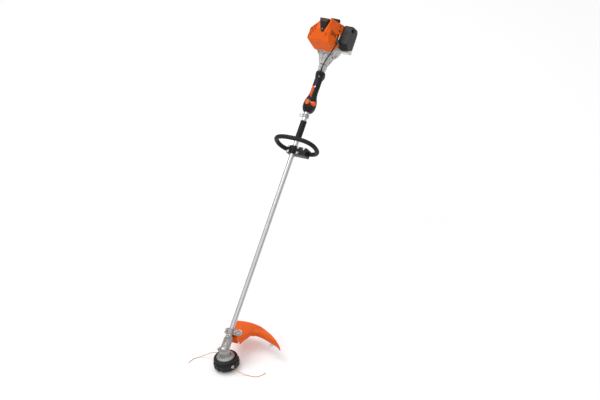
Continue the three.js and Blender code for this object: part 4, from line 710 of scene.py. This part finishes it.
# ------------------------------------------------------------- engine front
def make_drive_end():
    neck_radius = TUBE_RADIUS + 9.3
    neck = turned([
        (13, NECK_START), (17, NECK_START), (18, NECK_START + 1), (18.6, NECK_START + 5),
        (20, NECK_START + 6.5),
        (20, NECK_START + 13), (19, NECK_START + 14), (19, NECK_START + 15.4), (22, NECK_START + 18),
        (22, NECK_START + 30), (21.4, NECK_START + 31), (13, NECK_START + 31),
    ], 96)
    body = mesh_object("neck_collar", *neck, TOOL)
    slit = box(-1, 1, 10, 40, NECK_START - 2, NECK_START + 32)
    side_slit = ringed(box(10, 40, -1.2, 1.2, NECK_START + 19, NECK_START + 29), [200])
    boolean(body, gathered(slit, *side_slit), TOOL)
    bevelled(body, 0.4)
    done(body, "root", "grey_plastic", "neck_clamp")
    screws = gathered(screw((9, 18.6, NECK_START + 24), (1, 0.2, 0), 3.2, 3.2),
                      screw((-20.5, 4, NECK_START + 24), (-1, 0.2, 0), 3.2, 2))
    piece("neck_screws", screws, TOOL, "root", "steel")

    drum_space, wall = 34.7, 4
    shell = turned([
        (0, HOUSING_START), (neck_radius + 1, HOUSING_START), (neck_radius + 1.6, HOUSING_START + 2),
        (neck_radius + 4, HOUSING_START + 22), (drum_space + wall - 1, DRUM_START - 5),
        (drum_space + wall, DRUM_START), (drum_space + wall + 3, DRUM_START + 12),
        (HOUSING_RADIUS - 5, FAN_START - 4), (HOUSING_RADIUS - 1, FAN_START + 3),
        (HOUSING_RADIUS, FAN_START + 7), (HOUSING_RADIUS, FAN_FACE - 1),
        (HOUSING_RADIUS - 1, FAN_FACE), (0, FAN_FACE),
    ], 144)
    ribs = []
    for k in range(10):
        angle = math.radians(36 * k + 9)
        outline = [(HOUSING_START + 4, 20), (HOUSING_START + 6, 26), (DRUM_START - 2, 40),
                   (FAN_START - 6, 57), (FAN_START + 4, 61.5), (FAN_START + 4, 40), (DRUM_START, 30)]
        rib = prism(outline, -1.5, 1.5)
        stand = Matrix(((0, 1, 0, 0), (0, 0, 1, 0), (1, 0, 0, 0), (0, 0, 0, 1)))
        ribs.append(moved(rib, about("Z", angle) @ stand))
    lugs = [moved(turned([(0, FAN_START - 6), (6, FAN_START - 6), (6, FAN_FACE - 1), (0, FAN_FACE - 1)], 32),
                  about("Z", math.radians(72 * k + 27)) @ at(54.5, 0, 0)) for k in range(5)]
    housing = mesh_object("clutch_casting", *gathered(shell, *ribs, *lugs), TOOL)
    windows = ringed(box(26, 60, -6.5, 6.5, DRUM_START - 4, DRUM_START + 5), (99, 171, 279, 351))
    boolean(housing, gathered(*windows), TOOL, crossing=True)
    remeshed(housing, 1.1, 3)
    done(housing, "root", "grey_plastic", "clutch_housing")
    piece("housing_screws", gathered(*[
        moved(screw((54.5, 0, FAN_START - 6), (0, 0, -1), 3.4, 3), about("Z", math.radians(72 * k + 27)))
        for k in range(5)]), TOOL, "root", "steel")


# ----------------------------------------------------------------- engine
def slot_cutter(place, normal, along, length, width, depth=(-9, 9)):
    """A slot with round ends, cut into a wall at place, its long way set by along."""
    normal, along = Vector(normal).normalized(), Vector(along)
    along = (along - normal * along.dot(normal)).normalized()
    across = normal.cross(along)
    half, r = length / 2 - width / 2, width / 2
    arc = [math.radians(angle) for angle in range(-90, 91, 30)]
    outline = [(half + r * math.cos(angle), r * math.sin(angle)) for angle in arc]
    outline += [(-x, -y) for x, y in outline]
    turn = Matrix((along, across, normal)).transposed().to_4x4()
    low, high = depth
    return moved(prism(outline, -high, -low), Matrix.Translation(place) @ turn)


def make_shroud():
    shroud = from_node("shroud", "shroud_skin")
    vents = []
    # right shoulder, two rows of slots along the tube
    shoulder = Vector((0.359, 0.933, 0))
    for part in (0.1, 0.29, 0.48, 0.67):
        front, back = 1589 + 60 * part, 1621 + 42 * part
        length = min(20, back - front - 6)
        for middle in (front, back):
            vents.append(((76 - 52 * part, 108 + 20 * part, middle), shoulder, (0, 0, 1), length, 5.2))
    # right front, three long slots down the corner
    corner = Vector((0.735, 0, -0.678))
    for k in range(3):
        vents.append(((60 + 8 * k, 51 - 4 * k, 1563 + 8.7 * k), corner, (0.534, 0.643, 0.578), 42, 4.8))
    # right side, cooling slots
    for k in range(4):
        vents.append(((92, 24 + 10 * k, 1610), Vector((1, 0, 0)), (0, 0, 1), 18, 4.4))
    # left flank
    flank = Vector((-0.92, 0.39, 0))
    for k, part in enumerate((0.24, 0.37, 0.5, 0.63)):
        place = (-38 - 28 * part, 122 - 66 * part, 1631 - 2 * k)
        vents.append((place, flank, (0.05, 0.12, 1), 26 - 2 * k, 5.2))
    vents.append(((-59, 72.6, 1634), flank, (0, 0, 1), 7.4, 7.2))
    vents.append(((-60.4, 69, 1679), flank, (0, 0, 1), 9, 8))
    vents.append(((-61.5, 66, 1658), flank, (0.2, 0.5, 0.3), 12, 7))
    cuts = [slot_cutter(*vent) for vent in vents]
    boolean(shroud, gathered(*cuts), TOOL)
    # painted shade: black backings a little behind each slot, so the vents read dark
    shade_backings = [slot_cutter(place, normal, along, length + 5, width + 5, (4.4, 5.6))
              for place, normal, along, length, width in vents]
    piece("vent_shade_backings", gathered(*shade_backings), TOOL, "root", "black_plastic")
    # rounded ridge on the plug cover's left
    foot, crest = Vector((-20, 124, 1610)), Vector((-33, 124.5, 1686))
    path = [foot.lerp(crest, k / 12) for k in range(13)]
    rise = swept(path, lambda f: 3.5 + 3.5 * math.sin(math.pi * min(1, 0.15 + f * 0.5)), 20)
    badge = pointing((-46.6, 102, 1667), flank)
    plain_disc = gathered(turned([(5.8, -3), (7.6, -3), (7.6, 1.2), (5.8, 1.2)], 40), rod(4.6, -3, 0.8, 40))
    with_shape(shroud, gathered(rise, moved(plain_disc, badge)), TOOL)
    remeshed(shroud, 0.9, 3)
    done(shroud, "root", "orange_plastic", "shroud")

    plug = from_node("plug_cover", "plug_cover_skin")
    remeshed(plug, 0.8, 5)
    done(plug, "root", "black_plastic", "plug_cover")
    screws = gathered(screw((-1, SHROUD_TOP + 3.8, SHROUD_BACK - 59), (0, 1, -0.3), 2.2, 0.8),
                      screw((70, 60, 1568), (0.73, 0, -0.68), 2.8, 1),
                      screw((-64.6, 62, 1600), flank, 2.6, 1),
                      screw((-64.6, 62, 1676), flank, 2.6, 1))
    piece("shroud_screws", screws, TOOL, "root", "steel")


def make_starter():
    end = STARTER_START + STARTER_LENGTH
    shell = turned([
        (0, STARTER_START), (STARTER_RADIUS, STARTER_START), (STARTER_RADIUS, end - 14),
        (STARTER_RADIUS - 1, end - 11), (STARTER_RADIUS - 5, end - 6), (STARTER_RADIUS - 13, end - 0.8),
        (STARTER_RADIUS - 15, end), (14, end), (12, end - 2), (0, end - 2),
    ], 144)
    body = mesh_object("starter_casting", *shell, TOOL)
    slots = ringed(box(18, 44, -1.5, 1.5, end - 9, end + 4), range(0, 360, 15))
    sides = ringed(box(44, 60, -2, 2, STARTER_START + 6, end - 16), range(200, 350, 15))
    boolean(body, gathered(*slots, *sides), TOOL)
    bevelled(body, 0.5)
    done(body, "root", "black_plastic", "starter_housing")
    ring = turned([(14.5, end - 1), (17, end - 1), (17, end), (14.5, end)], 64)
    screws = ringed(screw((46, 0, end - 7.4), (0.5, 0, 0.86), 3, 1.2), (45, 135, 225, 315))
    piece("starter_screws", gathered(*screws, ring), TOOL, "root", "steel")

    pull = Vector((0, math.sin(GRIP_TILT), math.cos(GRIP_TILT)))
    hole, stem = Vector((-20, 44, end - 8)), Vector(GRIP_PLACE) - pull * 5
    rope = [hole.lerp(stem, k / 60) for k in range(61)]
    cord = mesh_object("starter_rope", *swept(rope, ROPE_RADIUS, 16), TOOL)
    for polygon in cord.data.polygons:
        polygon.use_smooth = True
    cord.data.materials.append(LOOKS["rubber"])
    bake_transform(cord)

    grip = from_node("starter_grip", "starter_grip_skin")
    collar = turned([(2.6, -14), (4.4, -14), (5.6, -6), (7, -2), (2.6, -2)], 32)
    with_shape(grip, moved(collar, pointing(GRIP_PLACE, pull)), TOOL)
    remeshed(grip, 0.6, 5)
    done(grip, "grip", "black_plastic", "starter_grip")


def make_fuel():
    tank = from_node("fuel_tank", "fuel_tank_skin")
    seam = box(-79.6, 79.6, -69.6, -67.6, 1589.4, 1690.9)
    with_shape(tank, seam, TOOL)
    remeshed(tank, 1.1, 5)
    done(tank, "root", "tank_plastic", "fuel_tank")
    cap = turned([
        (0, -4), (11.2, -4), (11.2, 4.3), (18, 4.3), (18, 11), (17, 12), (11, 12), (10, 11), (0, 11),
    ], 120, notched(20, 0.06))
    bar_across = box(-16, 16, -2.2, 2.2, 10, 16)
    turn = at(*TANK_CAP_PLACE) @ about("Y", math.pi / 2)
    piece("fuel_cap_skin", moved(gathered(cap, bar_across), turn), TOOL, "fuel_cap", "black_plastic",
          "fuel_cap", bevel=0.5)

    cover = from_node("filter_cover", "filter_cover_skin")
    louvres = [box(-112.4, -108, -18 + 7 * k, -15.6 + 7 * k, 1612, 1660) for k in range(6)]
    with_shape(cover, gathered(*louvres), TOOL)
    remeshed(cover, 0.9, 4)
    done(cover, "root", "black_plastic", "filter_cover")
    knob = turned([
        (0, 104), (4, 104), (4, 112.6), (9, 113), (9, 118), (8.2, 119.4), (0, 119.6),
    ], 72, notched(12, 0.09))
    wing = box(-2.2, 2.2, -8.4, 8.4, 118, 123)
    turn = at(*FILTER_KNOB_PLACE) @ about("Y", -math.pi / 2)
    piece("filter_knob_skin", moved(gathered(knob, wing), turn), TOOL, "filter_knob", "black_plastic",
          "filter_knob", bevel=0.4)

    cable = curve_points([
        (-8, 18, HANDLE_END - 24), (-8, 18, HANDLE_END - 2), (-11, 25, HANDLE_END + 14),
        (-26, 44, HOUSING_START + 8),
        (-49, 60, HOUSING_START + 44), (-63, 68, CYLINDER_PLACE - 49), (-71, 71, CYLINDER_PLACE - 29),
        (-72, 69, CYLINDER_PLACE - 14), (-70, 65.5, CYLINDER_PLACE - 3),
    ], 10)
    piece("throttle_cable_skin", swept(cable, 2.9, 20), TOOL, "root", "rubber", "throttle_cable", angle=60)


def make_spring():
    """The return spring between the shell and the spool: the CAD spring copied in steel and fixed in place.
    """
    spring = from_node("head_spring", "return_spring")
    spring.data.materials.clear()
    spring.data.materials.append(LOOKS["steel"])
    shaded(spring, 35)
    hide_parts("head_spring")
    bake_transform(spring)


def make_small_parts():
    for node, width in (("muffler", 0.8), ("cylinder", 0.3), ("crankcase", 0.8), ("carburettor", 0.8),
                        ("throttle_lever", 0.3), ("spark_plug", 0.4)):
        part = from_node(node, node + "_finished")
        bevelled(part, width)
        done(part, BODY_OF[node], SLOT_OF[node], node)
    for node in ("fan_wheel", "crankshaft", "connecting_rod", "piston", "clutch_drum", "spool",
                 "starter_pulley", "output_gear", "pinion_gear", "drive_shaft", "primer_bulb"):
        shaded(frame["nodes"][node], 35)


make_head()
make_gearbox()
make_deflector()
make_front()
make_handle()
make_drive_end()
make_shroud()
make_starter()
make_fuel()
make_spring()
make_small_parts()


# ------------------------------------------------------------------ studio
def make_studio():
    floor = mesh_object("floor", [(-40, -40, 0), (40, -40, 0), (40, 40, 0), (-40, 40, 0)], [[0, 1, 2, 3]],
                        Matrix.Translation((0, 0, -0.0002)))
    pale = bpy.data.materials.new("floor")
    pale.use_nodes = True
    surface = pale.node_tree.nodes["Principled BSDF"]
    surface.inputs["Base Color"].default_value = (0.93, 0.93, 0.93, 1)
    surface.inputs["Roughness"].default_value = 0.9
    surface.inputs["Emission Color"].default_value = (1, 1, 1, 1)
    surface.inputs["Emission Strength"].default_value = 0.12
    floor.data.materials.append(pale)
    world = bpy.data.worlds.new("studio")
    world.use_nodes = True
    nodes, links = world.node_tree.nodes, world.node_tree.links
    background = nodes["Background"]
    background.inputs["Strength"].default_value = 0.95
    direction = nodes.new("ShaderNodeTexCoord")
    split = nodes.new("ShaderNodeSeparateXYZ")
    ramp = nodes.new("ShaderNodeValToRGB")
    ramp.color_ramp.elements[0].position = 0.0
    ramp.color_ramp.elements[0].color = (0.07, 0.07, 0.075, 1)
    ramp.color_ramp.elements[1].position = 0.85
    ramp.color_ramp.elements[1].color = (1, 1, 1, 1)
    links.new(direction.outputs["Generated"], split.inputs["Vector"])
    links.new(split.outputs["Z"], ramp.inputs["Fac"])
    links.new(ramp.outputs["Color"], background.inputs["Color"])
    bpy.context.scene.world = world
    lamps = (("key", (-1.6, 0.6, 4.6), 2.4, 75), ("fill", (3.5, -2.5, 3.0), 2.5, 14))
    for name, place, size, power in lamps:
        data = bpy.data.lights.new(name, "AREA")
        data.size = size
        data.energy = power
        lamp = bpy.data.objects.new(name, data)
        aim = Vector((0, 0.7, 0.5)) - Vector(place)
        lamp.matrix_world = Matrix.Translation(place) @ aim.to_track_quat("-Z", "Y").to_matrix().to_4x4()
        bpy.context.collection.objects.link(lamp)
    bpy.context.scene.view_settings.view_transform = "Standard"


make_studio()
